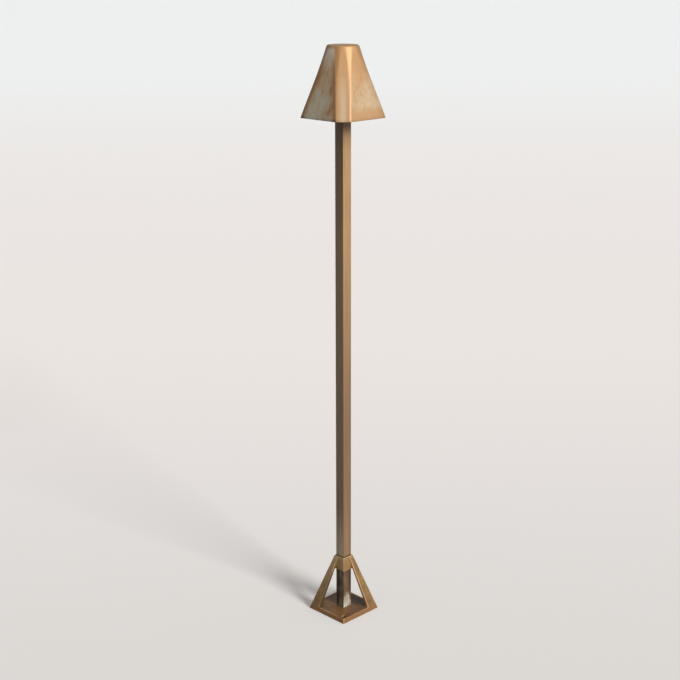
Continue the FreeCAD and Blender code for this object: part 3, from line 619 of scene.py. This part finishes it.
# %% [markdown]
# ## Simple shapes
# Most pieces are boxes or turned. A box is a cube that is scaled and moved. A turned shape is half an
# outline whose corners are rounded and which is then spun about the upright axis. A full spin has to
# merge its last step with its first, and points on the axis have to be merged too.

# %% Boxes and turned shapes
SAME_SPOT, UPRIGHT_SLACK = 0.0005 * MM, 0.001 * MM


def box(low, high):
    """A box between two corners in millimetres."""
    form = bmesh.new()
    low, high = Vector(low) * MM, Vector(high) * MM
    middle = Matrix.Translation((low + high) / 2) @ Matrix.Diagonal((high - low).to_4d())
    bmesh.ops.create_cube(form, size=1, matrix=middle)
    return form


def turned(outline, rounding=0.0, steps=64, centre=(0, 0), closed=False):
    """A shape spun from (radius, height) pairs in millimetres. A closed outline makes a ring."""
    form = bmesh.new()
    points = [form.verts.new((radius * MM, 0, height * MM)) for radius, height in outline]
    for pair in zip(points, points[1:] + points[:1] if closed else points[1:]):
        form.edges.new(pair)
    if rounding:
        bmesh.ops.bevel(
            form, geom=points if closed else points[1:-1], offset=rounding * MM, offset_type="OFFSET",
            affect="VERTICES", segments=3, profile=0.5, material=-1)
    bmesh.ops.spin(
        form, geom=form.verts[:] + form.edges[:], cent=(0, 0, 0), axis=(0, 0, 1), angle=math.tau, steps=steps,
        use_merge=True)
    bmesh.ops.remove_doubles(form, verts=form.verts, dist=SAME_SPOT)
    bmesh.ops.recalc_face_normals(form, faces=form.faces)
    bmesh.ops.translate(form, vec=(centre[0] * MM, centre[1] * MM, 0), verts=form.verts)
    return form


def join(form, *others):
    """Moves other forms into the first one."""
    for other in others:
        mesh = bpy.data.meshes.new("joined")
        other.to_mesh(mesh)
        other.free()
        form.from_mesh(mesh)
        bpy.data.meshes.remove(mesh)
    return form


def round_edges(form, edges, size, steps=3):
    """Rounds the given edges of a form."""
    bmesh.ops.bevel(
        form, geom=edges, offset=size * MM, offset_type="OFFSET", affect="EDGES", segments=steps, profile=0.5,
        material=-1)


def upright(form):
    """The edges of a form that stand upright."""
    return [e for e in form.edges if (e.verts[0].co.xy - e.verts[1].co.xy).length < UPRIGHT_SLACK]


print("points closer than", SAME_SPOT / MM, "mm are merged")

# %% [markdown]
# ## Base casting
# The base is one sand casting: a square plate with a sloped rim and a sunk floor, two legs that lean
# in from opposite corners, and a collar for the post. Each of these is a simple closed shape. They
# overlap on purpose: a voxel Remesh turns them into one skin, and a few rounds of smoothing give all
# edges and inner corners the soft look of cast metal at once.

# %% Base: plate, legs and collar
PLATE, RIM, RIM_LAND, FLOOR = 30.2, 5.5, 1.8, 4.7
COLLAR, COLLAR_FOOT = 8.0, 54.0
RIM_TOP = round(PLATE - (PLATE - COLLAR) * RIM / BASE_HEIGHT, 3)
# Both ends of a leg: its height, how far out its corner is, its width along each side, its thickness.
LEG_FOOT, LEG_HEAD = (0.6, 30.0, 14.5, 4.6), (BASE_HEIGHT, COLLAR, 6.2, 2.8)

casting = box((-PLATE, -PLATE, 0), (PLATE, PLATE, RIM))
upper = [v for v in casting.verts if v.co.z > RIM / 2 * MM]
bmesh.ops.scale(casting, vec=(RIM_TOP / PLATE, RIM_TOP / PLATE, 1), verts=upper)
top = [f for f in casting.faces if f.normal.z > 0.9]
bmesh.ops.inset_region(casting, faces=top, thickness=RIM_LAND * MM)
sunk = bmesh.ops.extrude_face_region(casting, geom=top)["geom"]
bmesh.ops.translate(
    casting, vec=(0, 0, (FLOOR - RIM) * MM), verts=[v for v in sunk if isinstance(v, bmesh.types.BMVert)])
bmesh.ops.delete(casting, geom=top, context="FACES")


def leg(sign):
    """A leg that leans in from one corner, as the hull of its foot and its head."""
    form = bmesh.new()
    for height, corner, width, depth in (LEG_FOOT, LEG_HEAD):
        for inward in ((0, 0), (width, 0), (width, depth), (depth, width), (0, width)):
            spot = [(corner - reach) * sign for reach in inward]
            form.verts.new(Vector((*spot, height)) * MM)
    bmesh.ops.convex_hull(form, input=form.verts)
    return form


collar_top = span("base_casting")[1].z
join(casting, leg(-1), leg(1), box((-COLLAR, -COLLAR, COLLAR_FOOT), (COLLAR, COLLAR, collar_top)))
print("casting blank", len(casting.faces), "faces")

# %% Base: holes
POST_HOLE, POST_HOLE_TOP, ANCHOR, ANCHOR_HEAD, ANCHOR_EDGE = 6.55, 80, 2.1, 3.9, 5.1
BUSH_FLANGE, BUSH_NECK, BUSH_STEP = 6.4, 4.6, 1.6
HOLE_SPOT = round(RIM_TOP - RIM_LAND - ANCHOR_EDGE, 3)
VOXEL, SMOOTH_ROUNDS = 0.44, 7
# How far a cutter reaches past what it cuts.
PAST = 1

bush_top, sink_low, sink_high = FLOOR - 0.3, FLOOR - 1.5, FLOOR + 0.3
cable_hole = [(0, -PAST), (BUSH_FLANGE, -PAST), (BUSH_FLANGE, BUSH_STEP), (BUSH_NECK, BUSH_STEP),
              (BUSH_NECK, bush_top), (0, bush_top)]
anchor_hole = [(0, -PAST), (ANCHOR, -PAST), (ANCHOR, sink_low), (ANCHOR_HEAD, sink_high), (0, sink_high)]
cutter = join(
    box((-POST_HOLE, -POST_HOLE, FLOOR), (POST_HOLE, POST_HOLE, POST_HOLE_TOP)), turned(cable_hole),
    turned(anchor_hole, centre=(HOLE_SPOT, -HOLE_SPOT)), turned(anchor_hole, centre=(-HOLE_SPOT, HOLE_SPOT)))
casting = carve(casting, cutter)
casting = through_modifier(casting, "REMESH", {"mode": "VOXEL", "voxel_size": VOXEL * MM})
for _ in range(SMOOTH_ROUNDS):
    bmesh.ops.smooth_vert(
        casting, verts=casting.verts, factor=0.5, use_axis_x=True, use_axis_y=True, use_axis_z=True)
print("one skin of", len(casting.faces), "faces")

# %% Base: where it wears
WEAR_REACH, WEAR_ROUNDS = 0.045, 2


def mark_wear(form):
    """Stores how far each point stands out from its neighbours: raised edges, which are rubbed and also get a
    painted highlight, and hollows.
    """
    layer = form.verts.layers.float.new("wear")
    form.normal_update()
    for point in form.verts:
        around = [edge.other_vert(point).co for edge in point.link_edges]
        point[layer] = (point.co - sum(around, Vector()) / len(around)).dot(point.normal) / (WEAR_REACH * MM)
    for _ in range(WEAR_ROUNDS):
        smooth = [sum(e.other_vert(v)[layer] for e in v.link_edges) / len(v.link_edges) for v in form.verts]
        for point, value in zip(form.verts, smooth):
            point[layer] = value


mark_wear(casting)
make_piece(casting, "softened_base", "base_casting", base_bronze.owner, crease=80)

# %% [markdown]
# ## Post
# The post is drawn square tube with slightly rounded corners. A cube gets its four long edges
# bevelled, its ends removed and its walls made solid towards the inside.

# %% Post
TUBE_CORNER, TUBE_WALL = 0.5, 1.25

tube = box(*span("post"))
round_edges(tube, upright(tube), TUBE_CORNER, steps=4)
bmesh.ops.delete(tube, geom=[f for f in tube.faces if abs(f.normal.z) > 0.5], context="FACES")
bmesh.ops.solidify(tube, geom=tube.faces[:], thickness=TUBE_WALL * MM)
post = make_piece(tube, "square_tube", "post", post_bronze.owner)
print("post", [round(value / MM, 1) for value in post.dimensions])

# %% [markdown]
# ## Hood
# The hood is a round blank with eight flats planed on it: four wide sides and four narrow corner
# facets. The flats meet the round blank near the top, where they fade into a circle, the sides more
# softly than the facets. Half way up they are slightly hollow. The blank is a tube of rings, folded at
# the rim. Each point moves in until it touches the nearest flat, and a soft minimum rounds the edge
# between two flats. The columns are slid sideways so that they run along those edges.

# %% Hood: the planed blank
# Each pair is a length at the rim and at the top: how far out the surfaces lie, how softly they meet.
SIDE, FACET, BLANK = (39.4, 18.05), (47.295, 17.82), (48.1, 17.83)
EDGE_SOFT, SIDE_FADE, FACET_FADE = (1.6, 0.25), (0.3, 0.8), (0.3, 0.08)
HOLLOW, HOLLOW_OF_SIDE, HOLLOW_SKEW, COLUMN_SLIDE = 0.9, 0.68, 1.5, 1.7


def along(pair, share):
    """The length that lies the given share of the way from the first of a pair to the second."""
    return pair[0] + (pair[1] - pair[0]) * share


def kept_within(value):
    """A share that is never below 0 or above 1."""
    return min(max(value, 0), 1)


def soft_least(first, second, blend):
    """The smaller of two lengths, rounded off where they are close."""
    share = kept_within(0.5 + 0.5 * (second - first) / blend)
    return second + (first - second) * share - blend * share * (1 - share)


def hood_spot(angle, share, inset):
    """Where a point of the blank ends up, in millimetres from the axis."""
    quarter, eighth = math.pi / 2, math.pi / 4
    dip = HOLLOW * math.sin(math.pi * share ** HOLLOW_SKEW)
    side, blank = (along(pair, share) - inset - dip * HOLLOW_OF_SIDE for pair in (SIDE, BLANK))
    facet = along(FACET, share) - inset - dip
    edge = math.atan2(facet * math.sqrt(2) - side, side)
    start = angle // quarter * quarter
    within = angle - start
    mirrored = within > eighth
    lean = (quarter - within if mirrored else within) / eighth * 2 - 1
    lean = math.copysign(abs(lean) ** COLUMN_SLIDE, lean)
    within = edge * (1 + lean) if lean < 0 else edge + (eighth - edge) * lean
    to_side, to_facet = side / math.cos(within), facet / math.cos(eighth - within)
    flats = soft_least(to_side, to_facet, along(EDGE_SOFT, share))
    fade = along((along(SIDE_FADE, share), along(FACET_FADE, share)), kept_within(0.5 + lean))
    reach = soft_least(flats, blank, fade)
    turn = start + (quarter - within if mirrored else within)
    return Vector((math.cos(turn) * reach, math.sin(turn) * reach))


print("rim corner at", [round(value, 2) for value in hood_spot(math.radians(22.5), 0, 0)])

# %% Hood: skins, rim and top
ROOF, WALL, COLUMNS, INNER_ROWS, OUTER_ROWS = 4.0, 2.7, 256, 30, 60
TOP_ROUNDING, RIM_ROUNDING, LEVEL_SLACK = 1.85, 0.5, 0.01


def folded_tube():
    """One tube of rings: the first rows run down inside the hood, the others up its outside."""
    form = bmesh.new()
    rows = INNER_ROWS + 1 + OUTER_ROWS
    bmesh.ops.create_cone(form, segments=COLUMNS, radius1=1, radius2=1, depth=rows)
    bmesh.ops.subdivide_edges(form, edges=upright(form), cuts=rows - 1, use_grid_fill=True)
    for point in form.verts:
        row = round(point.co.z + rows / 2)
        if row > INNER_ROWS:
            top, inset, climb = HOOD_HIGH, 0, (row - INNER_ROWS - 1) / OUTER_ROWS
        else:
            top, inset, climb = HOOD_HIGH - ROOF, WALL, 1 - row / INNER_ROWS
        height = along((HOOD_LOW, top), climb)
        angle = math.atan2(point.co.y, point.co.x) % math.tau
        share = (height - HOOD_LOW) / (HOOD_HIGH - HOOD_LOW)
        point.co = Vector((*hood_spot(angle, share, inset), height)) * MM
    return form


def rings_at(form, height):
    """The edges of a form that lie at one height in millimetres."""
    level = {v for v in form.verts if abs(v.co.z / MM - height) < LEVEL_SLACK}
    return list({e for v in level for e in v.link_edges if e.other_vert(v) in level})


shell = folded_tube()
for height in (HOOD_HIGH, HOOD_HIGH - ROOF):
    bmesh.ops.contextual_create(shell, geom=rings_at(shell, height))
bmesh.ops.recalc_face_normals(shell, faces=shell.faces)
round_edges(shell, rings_at(shell, HOOD_HIGH), TOP_ROUNDING, steps=6)
round_edges(shell, [e for e in rings_at(shell, HOOD_LOW) if e.calc_face_angle() > 1], RIM_ROUNDING)
print("hood shell", len(shell.faces), "faces")

# %% [markdown]
# Two bosses inside the hood hold its studs. Each is a cylinder that is cut off by a slanting plane
# just inside the outer face, so that it grows out of the wall without showing outside.

# %% Hood: bosses
STUD_RADIUS, BOSS_RADIUS, BOSS_LENGTH, BOSS_COVER = 2.0, 4, 60, 1.2
STUD = span("stud_right")[0].x + STUD_RADIUS

boss_middle = span("spacer_right")[1].z + BOSS_LENGTH / 2
slope = math.atan((SIDE[0] - SIDE[1]) / (HOOD_HIGH - HOOD_LOW))
for sign in (-1, 1):
    boss = bmesh.new()
    bmesh.ops.create_cone(
        boss, cap_ends=True, segments=40, radius1=BOSS_RADIUS * MM, radius2=BOSS_RADIUS * MM,
        depth=BOSS_LENGTH * MM, matrix=Matrix.Translation(Vector((STUD * sign, 0, boss_middle)) * MM))
    cut = bmesh.ops.bisect_plane(
        boss, geom=boss.verts[:] + boss.edges[:] + boss.faces[:],
        plane_co=Vector(((SIDE[0] - BOSS_COVER) * sign, 0, HOOD_LOW)) * MM,
        plane_no=(math.cos(slope) * sign, 0, math.sin(slope)), clear_outer=True)
    bmesh.ops.contextual_create(boss, geom=[e for e in cut["geom_cut"] if isinstance(e, bmesh.types.BMEdge)])
    join(shell, boss)
hood = make_piece(shell, "planed_hood", "hood", hood_bronze.owner, crease=50)
print("hood", [round(value / MM, 1) for value in hood.dimensions])

# %% [markdown]
# ## Lens
# The lens is a thick glass jar turned upside down. Its outline runs down the inside, round the lip and
# back up the outside, so one spin makes both faces and the glass gets its real thickness.

# %% Lens
JAR, JAR_WALL, JAR_BEND, JAR_LIP = 14.0, 1.8, 8.0, 0.4
low, high = span("lens")


def quarter_round(radius, top, bend, steps=10):
    """Outline points of a rounded end, from the side wall to the flat top."""
    angles = [math.pi / 2 * step / steps for step in range(steps + 1)]
    return [(radius - bend + bend * math.cos(a), top - bend + bend * math.sin(a)) for a in angles]


def jar_face(inset, lip):
    """Outline of one face of the glass, from its lip to the middle of the end."""
    radius, top = JAR - inset, high.z - inset
    foot = [(radius - lip, low.z), (radius, low.z + JAR_LIP)]
    return foot + quarter_round(radius, top, JAR_BEND - inset) + [(0, top)]


jar = turned(jar_face(JAR_WALL, -JAR_LIP)[::-1] + jar_face(0, JAR_LIP), steps=96)
make_piece(jar, "glass_jar", "lens", clear_glass, crease=60)

# %% [markdown]
# ## Lamp and its holder
# The lamp is a small capsule on a moulded base with two pins. It plugs into contacts in a ceramic
# holder, and two countersunk screws fix the holder to the hub. The holes are cut with `carve`.

# %% Lamp
LAMP, DOME_BEND, DOME_FOOT = 4.8, 3.8, 0.6
GRIP, GRIP_LOW, GRIP_HIGH = 0.3, 1.6, 3.4
PIN, PIN_TIP, TIP_LENGTH = 0.35, 0.15, 0.5
HANDS = ("left", "right")

low, high = span("lamp_capsule")
dome = [(0, low.z), (LAMP - DOME_FOOT, low.z), (LAMP, low.z + DOME_FOOT)]
dome += quarter_round(high.x, high.z, DOME_BEND) + [(0, high.z)]
make_piece(turned(dome), "lamp_dome", "lamp_capsule", capsule_skin, crease=60)
low, high = span("lamp_base")
foot = [(0, low.z), (LAMP, low.z), (LAMP, low.z + GRIP_LOW), (LAMP - GRIP, low.z + GRIP_LOW + GRIP),
        (LAMP - GRIP, low.z + GRIP_HIGH - GRIP), (LAMP, low.z + GRIP_HIGH), (LAMP, high.z), (0, high.z)]
make_piece(turned(foot, rounding=0.2), "lamp_foot", "lamp_base", ceramic)
for hand in HANDS:
    low, high = span(f"lamp_pin_{hand}")
    pin = [(0, low.z), (PIN_TIP, low.z), (PIN, low.z + TIP_LENGTH), (PIN, high.z), (0, high.z)]
    pin = turned(pin, steps=24, centre=((low.x + high.x) / 2, 0))
    make_piece(pin, f"pin_{hand}", f"lamp_pin_{hand}", plated_brass)

# %% Lampholder
HOLDER, HOLDER_ROUNDING, HOLDER_BORE = 8.5, 0.5, 1.1
CONTACT_SPOT, SCREW_SPOT, SCREW_SINK = 2, 5.8, 2.1

low, high = span("lampholder")
disc = [(0, low.z), (HOLDER, low.z), (HOLDER, high.z), (0, high.z)]
disc = turned(disc, rounding=HOLDER_ROUNDING, steps=72)
through = [(0, low.z - PAST), (HOLDER_BORE, low.z - PAST), (HOLDER_BORE, high.z + PAST), (0, high.z + PAST)]
countersunk = [(0, low.z - PAST), (HOLDER_BORE, low.z - PAST), (HOLDER_BORE, high.z - 0.8),
               (SCREW_SINK, high.z + 0.2), (0, high.z + 0.2)]
bores = [turned(through, steps=32, centre=(spot, 0)) for spot in (-CONTACT_SPOT, CONTACT_SPOT)]
bores += [turned(countersunk, steps=32, centre=(0, spot)) for spot in (-SCREW_SPOT, SCREW_SPOT)]
make_piece(carve(disc, join(*bores)), "holder_disc", "lampholder", ceramic)

# %% Holder screws and contacts
SLOT_HALF, SLOT_DEPTH = 0.35, 0.7
SHANK, SCREW_HEAD, HEAD_DEPTH = 1.0, 1.8, 0.8
TAIL, TAIL_LENGTH, SLEEVE = 0.6, 4, 1.07
SLEEVE_BORE, SLEEVE_MOUTH, MOUTH_DEPTH, BORE_DEPTH = 0.4, 0.55, 0.3, 7.05


def slotted(form, centre, top, across):
    """Cuts a driver slot into the top of a form."""
    x, y = centre
    low, high = (x - across, y - SLOT_HALF, top - SLOT_DEPTH), (x + across, y + SLOT_HALF, top + PAST)
    return carve(form, box(low, high))


for hand in HANDS:
    low, high = span(f"lampholder_screw_{hand}")
    centre = (0, (low.y + high.y) / 2)
    shape = [(0, low.z), (SHANK, low.z), (SHANK, high.z - HEAD_DEPTH), (SCREW_HEAD, high.z), (0, high.z)]
    screw = slotted(turned(shape, rounding=0.05, steps=40, centre=centre), centre, high.z, across=2.5)
    make_piece(screw, f"holder_screw_{hand}", f"lampholder_screw_{hand}", steel)
    low, high = span(f"contact_{hand}")
    tail_top, bore_floor = low.z + TAIL_LENGTH, high.z - BORE_DEPTH
    sleeve = [(0, low.z), (TAIL, low.z), (TAIL, tail_top), (SLEEVE, tail_top), (SLEEVE, high.z),
              (SLEEVE_MOUTH, high.z), (SLEEVE_BORE, high.z - MOUTH_DEPTH), (SLEEVE_BORE, bore_floor),
              (0, bore_floor)]
    sleeve = turned(sleeve, steps=32, centre=((low.x + high.x) / 2, 0))
    make_piece(sleeve, f"sleeve_{hand}", f"contact_{hand}", plated_brass)

# %% [markdown]
# ## Hub, bracket and post fittings
# The hub is a turned flange with a square spigot that enters the post. A flat strap, the bracket, is
# clamped under it and carries the hood's studs. Small bevels along the strap catch the light.

# %% Hub and seal
HUB_BORE, HUB_BOSS, FLANGE, FLANGE_DEPTH = 3.3, 11.9, 16, 3
GROOVE_FLOOR, GROOVE_LOW, GROOVE_HIGH, SEAL_OUTSIDE = 10.7, 5, 7, 12.15
SPIGOT, SPIGOT_CORNER = 5.2, 0.4

low, high = span("hub")
seat = span("bracket")[1].z
flange_top, groove_low, groove_high = seat + FLANGE_DEPTH, seat + GROOVE_LOW, seat + GROOVE_HIGH
profile = [(HUB_BORE, seat), (FLANGE, seat), (FLANGE, flange_top), (HUB_BOSS, flange_top),
           (HUB_BOSS, groove_low), (GROOVE_FLOOR, groove_low), (GROOVE_FLOOR, groove_high),
           (HUB_BOSS, groove_high), (HUB_BOSS, high.z), (HUB_BORE, high.z)]
wheel = turned(profile, rounding=0.25, steps=96, closed=True)
spigot = box((-SPIGOT, -SPIGOT, low.z), (SPIGOT, SPIGOT, seat + 0.5))
round_edges(spigot, upright(spigot), SPIGOT_CORNER)
bore = turned([(0, low.z - PAST), (HUB_BORE, low.z - PAST), (HUB_BORE, high.z), (0, high.z)], steps=48)
join(wheel, carve(spigot, bore))
make_piece(wheel, "turned_hub", "hub", turned_brass)
low, high = span("lens_seal")
seal = [(GROOVE_FLOOR, low.z), (SEAL_OUTSIDE, low.z), (SEAL_OUTSIDE, high.z), (GROOVE_FLOOR, high.z)]
make_piece(turned(seal, rounding=0.55, steps=96, closed=True), "seal_ring", "lens_seal", rubber)

# %% Bracket
STRAP_CORNER, STRAP_EDGE, STUD_HOLE, SPIGOT_HOLE = 4, 0.35, 2.2, 5.25

low, high = span("bracket")
below, above = low.z - PAST, high.z + PAST
strap = box(low, high)
round_edges(strap, upright(strap), STRAP_CORNER, steps=10)
round_edges(strap, [e for e in strap.edges if e not in set(upright(strap))], STRAP_EDGE)
stud_hole = [(0, below), (STUD_HOLE, below), (STUD_HOLE, above), (0, above)]
holes = join(
    box((-SPIGOT_HOLE, -SPIGOT_HOLE, below), (SPIGOT_HOLE, SPIGOT_HOLE, above)),
    turned(stud_hole, steps=40, centre=(-STUD, 0)), turned(stud_hole, steps=40, centre=(STUD, 0)))
make_piece(carve(strap, holes), "cross_strap", "bracket", turned_brass)

# %% Screw in the post
POST_FACE, PAN_TOP, PAN_HEAD, PAN_SHANK, PAN_LENGTH = 6.5, 1.8, 2.7, 1.5, 2.9


def lay(form, spot, turn):
    """Turns a form that was made upright at the origin and moves it to its place."""
    bmesh.ops.rotate(form, cent=(0, 0, 0), matrix=turn, verts=form.verts)
    bmesh.ops.translate(form, vec=Vector(spot) * MM, verts=form.verts)
    return form


low, high = span("hub_screw")
shank = [(0, -PAN_LENGTH), (PAN_SHANK, -PAN_LENGTH), (PAN_SHANK, 0)]
head = [(PAN_HEAD, 0), (PAN_HEAD, 0.7), (2.2, 1.5), (1.4, PAN_TOP), (0, PAN_TOP)]
pan_screw = slotted(turned(shank + head, rounding=0.1, steps=48), (0, 0), PAN_TOP, across=4)
to_left = Matrix.Rotation(math.radians(-90), 3, "Y")
make_piece(lay(pan_screw, (-POST_FACE, 0, (low.z + high.z) / 2), to_left), "pan_screw", "hub_screw", steel)

# %% Screws in the collar
GRUB, GRUB_TIP, GRUB_LENGTH, GRUB_SPOT, GRUB_HEIGHT = 1.5, 1.1, 3.2, 4, 63.0
KEY_CORNER, KEY_LENGTH = 0.866, 2.8

to_back = Matrix.Rotation(math.radians(-90), 3, "X")
places = {"left": ((-POST_FACE, GRUB_SPOT, GRUB_HEIGHT), to_left),
          "right": ((-GRUB_SPOT, POST_FACE, GRUB_HEIGHT), to_back)}
for hand, (spot, turn) in places.items():
    grub = [(0, 0), (GRUB_TIP, 0), (GRUB, GRUB - GRUB_TIP), (GRUB, GRUB_LENGTH), (0, GRUB_LENGTH)]
    grub = turned(grub, rounding=0.12, steps=40)
    key_hole = bmesh.new()
    bmesh.ops.create_cone(
        key_hole, cap_ends=True, segments=6, radius1=KEY_CORNER * MM, radius2=KEY_CORNER * MM,
        depth=KEY_LENGTH * MM, matrix=Matrix.Translation((0, 0, GRUB_LENGTH * MM)))
    make_piece(lay(carve(grub, key_hole), spot, turn), f"grub_screw_{hand}", f"set_screw_{hand}", steel)

# %% [markdown]
# ## Studs, spacers, washers and thumb nuts
# Two studs hold the hood to the bracket. Their threads are real here: a zigzag line climbs by one
# pitch while it is spun once round, and the turns join up when doubles are merged. The thumb nuts
# get a knurl by drawing in every fourth column of a ring.

# %% Studs
PITCH, THREAD_DEPTH, THREAD_MERGE, STUD_CHAMFER = 0.7, 0.38, 0.002, 0.6
# One turn of the thread: how deep the line lies, as a share, and how far it has climbed.
THREAD_LINE = ((1, 0), (0, 0.35), (0, 0.5), (1, 0.85))


def threaded(low, high, radius, centre, steps=28):
    """A threaded rod from a zigzag outline that climbs as it spins."""
    form = bmesh.new()
    heights = [low - PITCH * 1.5 + PITCH * turn for turn in range(int((high - low) / PITCH) + 4)]
    outline = [(radius - THREAD_DEPTH * dip, height + PITCH * step)
               for height in heights for dip, step in THREAD_LINE]
    points = [form.verts.new((r * MM, 0, h * MM)) for r, h in outline]
    lines = [form.edges.new(pair) for pair in zip(points, points[1:])]
    bmesh.ops.spin(
        form, geom=points + lines, cent=(0, 0, 0), axis=(0, 0, 1), dvec=(0, 0, PITCH * MM / steps),
        angle=math.tau, steps=steps)
    bmesh.ops.remove_doubles(form, verts=form.verts, dist=THREAD_MERGE * MM)
    for level, up in ((low, -1), (high, 1)):
        bmesh.ops.bisect_plane(
            form, geom=form.verts[:] + form.edges[:] + form.faces[:], plane_co=(0, 0, level * MM),
            plane_no=(0, 0, up), clear_outer=True)
    bmesh.ops.holes_fill(form, edges=form.edges, sides=0)
    for point in form.verts:
        reach = (radius - STUD_CHAMFER) * MM + (point.co.z - low * MM)
        if point.co.xy.length > reach:
            point.co.xy *= reach / point.co.xy.length
    bmesh.ops.recalc_face_normals(form, faces=form.faces)
    bmesh.ops.translate(form, vec=(centre * MM, 0, 0), verts=form.verts)
    return form


for hand in HANDS:
    low, high = span(f"stud_{hand}")
    rod = threaded(low.z, high.z, STUD_RADIUS, (low.x + high.x) / 2)
    make_piece(rod, f"threaded_stud_{hand}", f"stud_{hand}", steel, crease=30)

# %% Spacers, washers and nuts
SPACER_BORE, WASHER_BORE, NUT_BORE, NUT = 2.2, 2.15, 2.05, 5.5
KNURLS, KNURL_COLUMNS, GROOVE, GROOVED_FROM = 24, 4, 0.5, 4.9


def ring_piece(node, name, bore, rounding, finish):
    """A plain ring on a stud."""
    low, high = span(node)
    radius = (high.x - low.x) / 2
    outline = [(bore, low.z), (radius, low.z), (radius, high.z), (bore, high.z)]
    ring = turned(outline, rounding, centre=((low.x + high.x) / 2, 0), closed=True)
    make_piece(ring, name, node, finish)


for hand in HANDS:
    ring_piece(f"spacer_{hand}", f"spacer_tube_{hand}", SPACER_BORE, 0.3, turned_brass)
    ring_piece(f"washer_{hand}", f"flat_washer_{hand}", WASHER_BORE, 0.2, plated_brass)
    low, high = span(f"thumb_nut_{hand}")
    outline = [(NUT_BORE, low.z), (NUT, low.z), (NUT, high.z), (NUT_BORE, high.z)]
    nut = turned(outline, rounding=0.35, steps=KNURLS * KNURL_COLUMNS, closed=True)
    for point in nut.verts:
        turns = math.atan2(point.co.y, point.co.x) / math.tau
        column = round(turns * KNURLS * KNURL_COLUMNS) % KNURL_COLUMNS
        if column == 0 and point.co.xy.length > GROOVED_FROM * MM:
            point.co.xy *= 1 - GROOVE * MM / point.co.xy.length
    bmesh.ops.translate(nut, vec=((low.x + high.x) / 2 * MM, 0, 0), verts=nut.verts)
    make_piece(nut, f"knurled_nut_{hand}", f"thumb_nut_{hand}", turned_brass, crease=25)

# %% [markdown]
# ## Bush and wires
# A rubber bush lines the hole where the supply enters from below. The lead wires and their crimp
# splices are shut inside the post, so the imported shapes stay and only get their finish.

# %% Bush and hidden nodes
BUSH_BORE = 3.25

bush_high = span("cable_bush")[1].z
bush = [(BUSH_BORE, 0), (BUSH_FLANGE, 0), (BUSH_FLANGE, BUSH_STEP), (BUSH_NECK, BUSH_STEP),
        (BUSH_NECK, bush_high), (BUSH_BORE, bush_high)]
make_piece(turned(bush, rounding=0.35, steps=72, closed=True), "rubber_bush", "cable_bush", rubber)
for node in [f"{kind}_{hand}" for kind in ("lead", "splice") for hand in HANDS]:
    mesh = frame["nodes"][node].data
    mesh.materials.clear()
    mesh.materials.append(insulation)
shown = [piece.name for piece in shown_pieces()]
print(len(shown), "pieces shown")
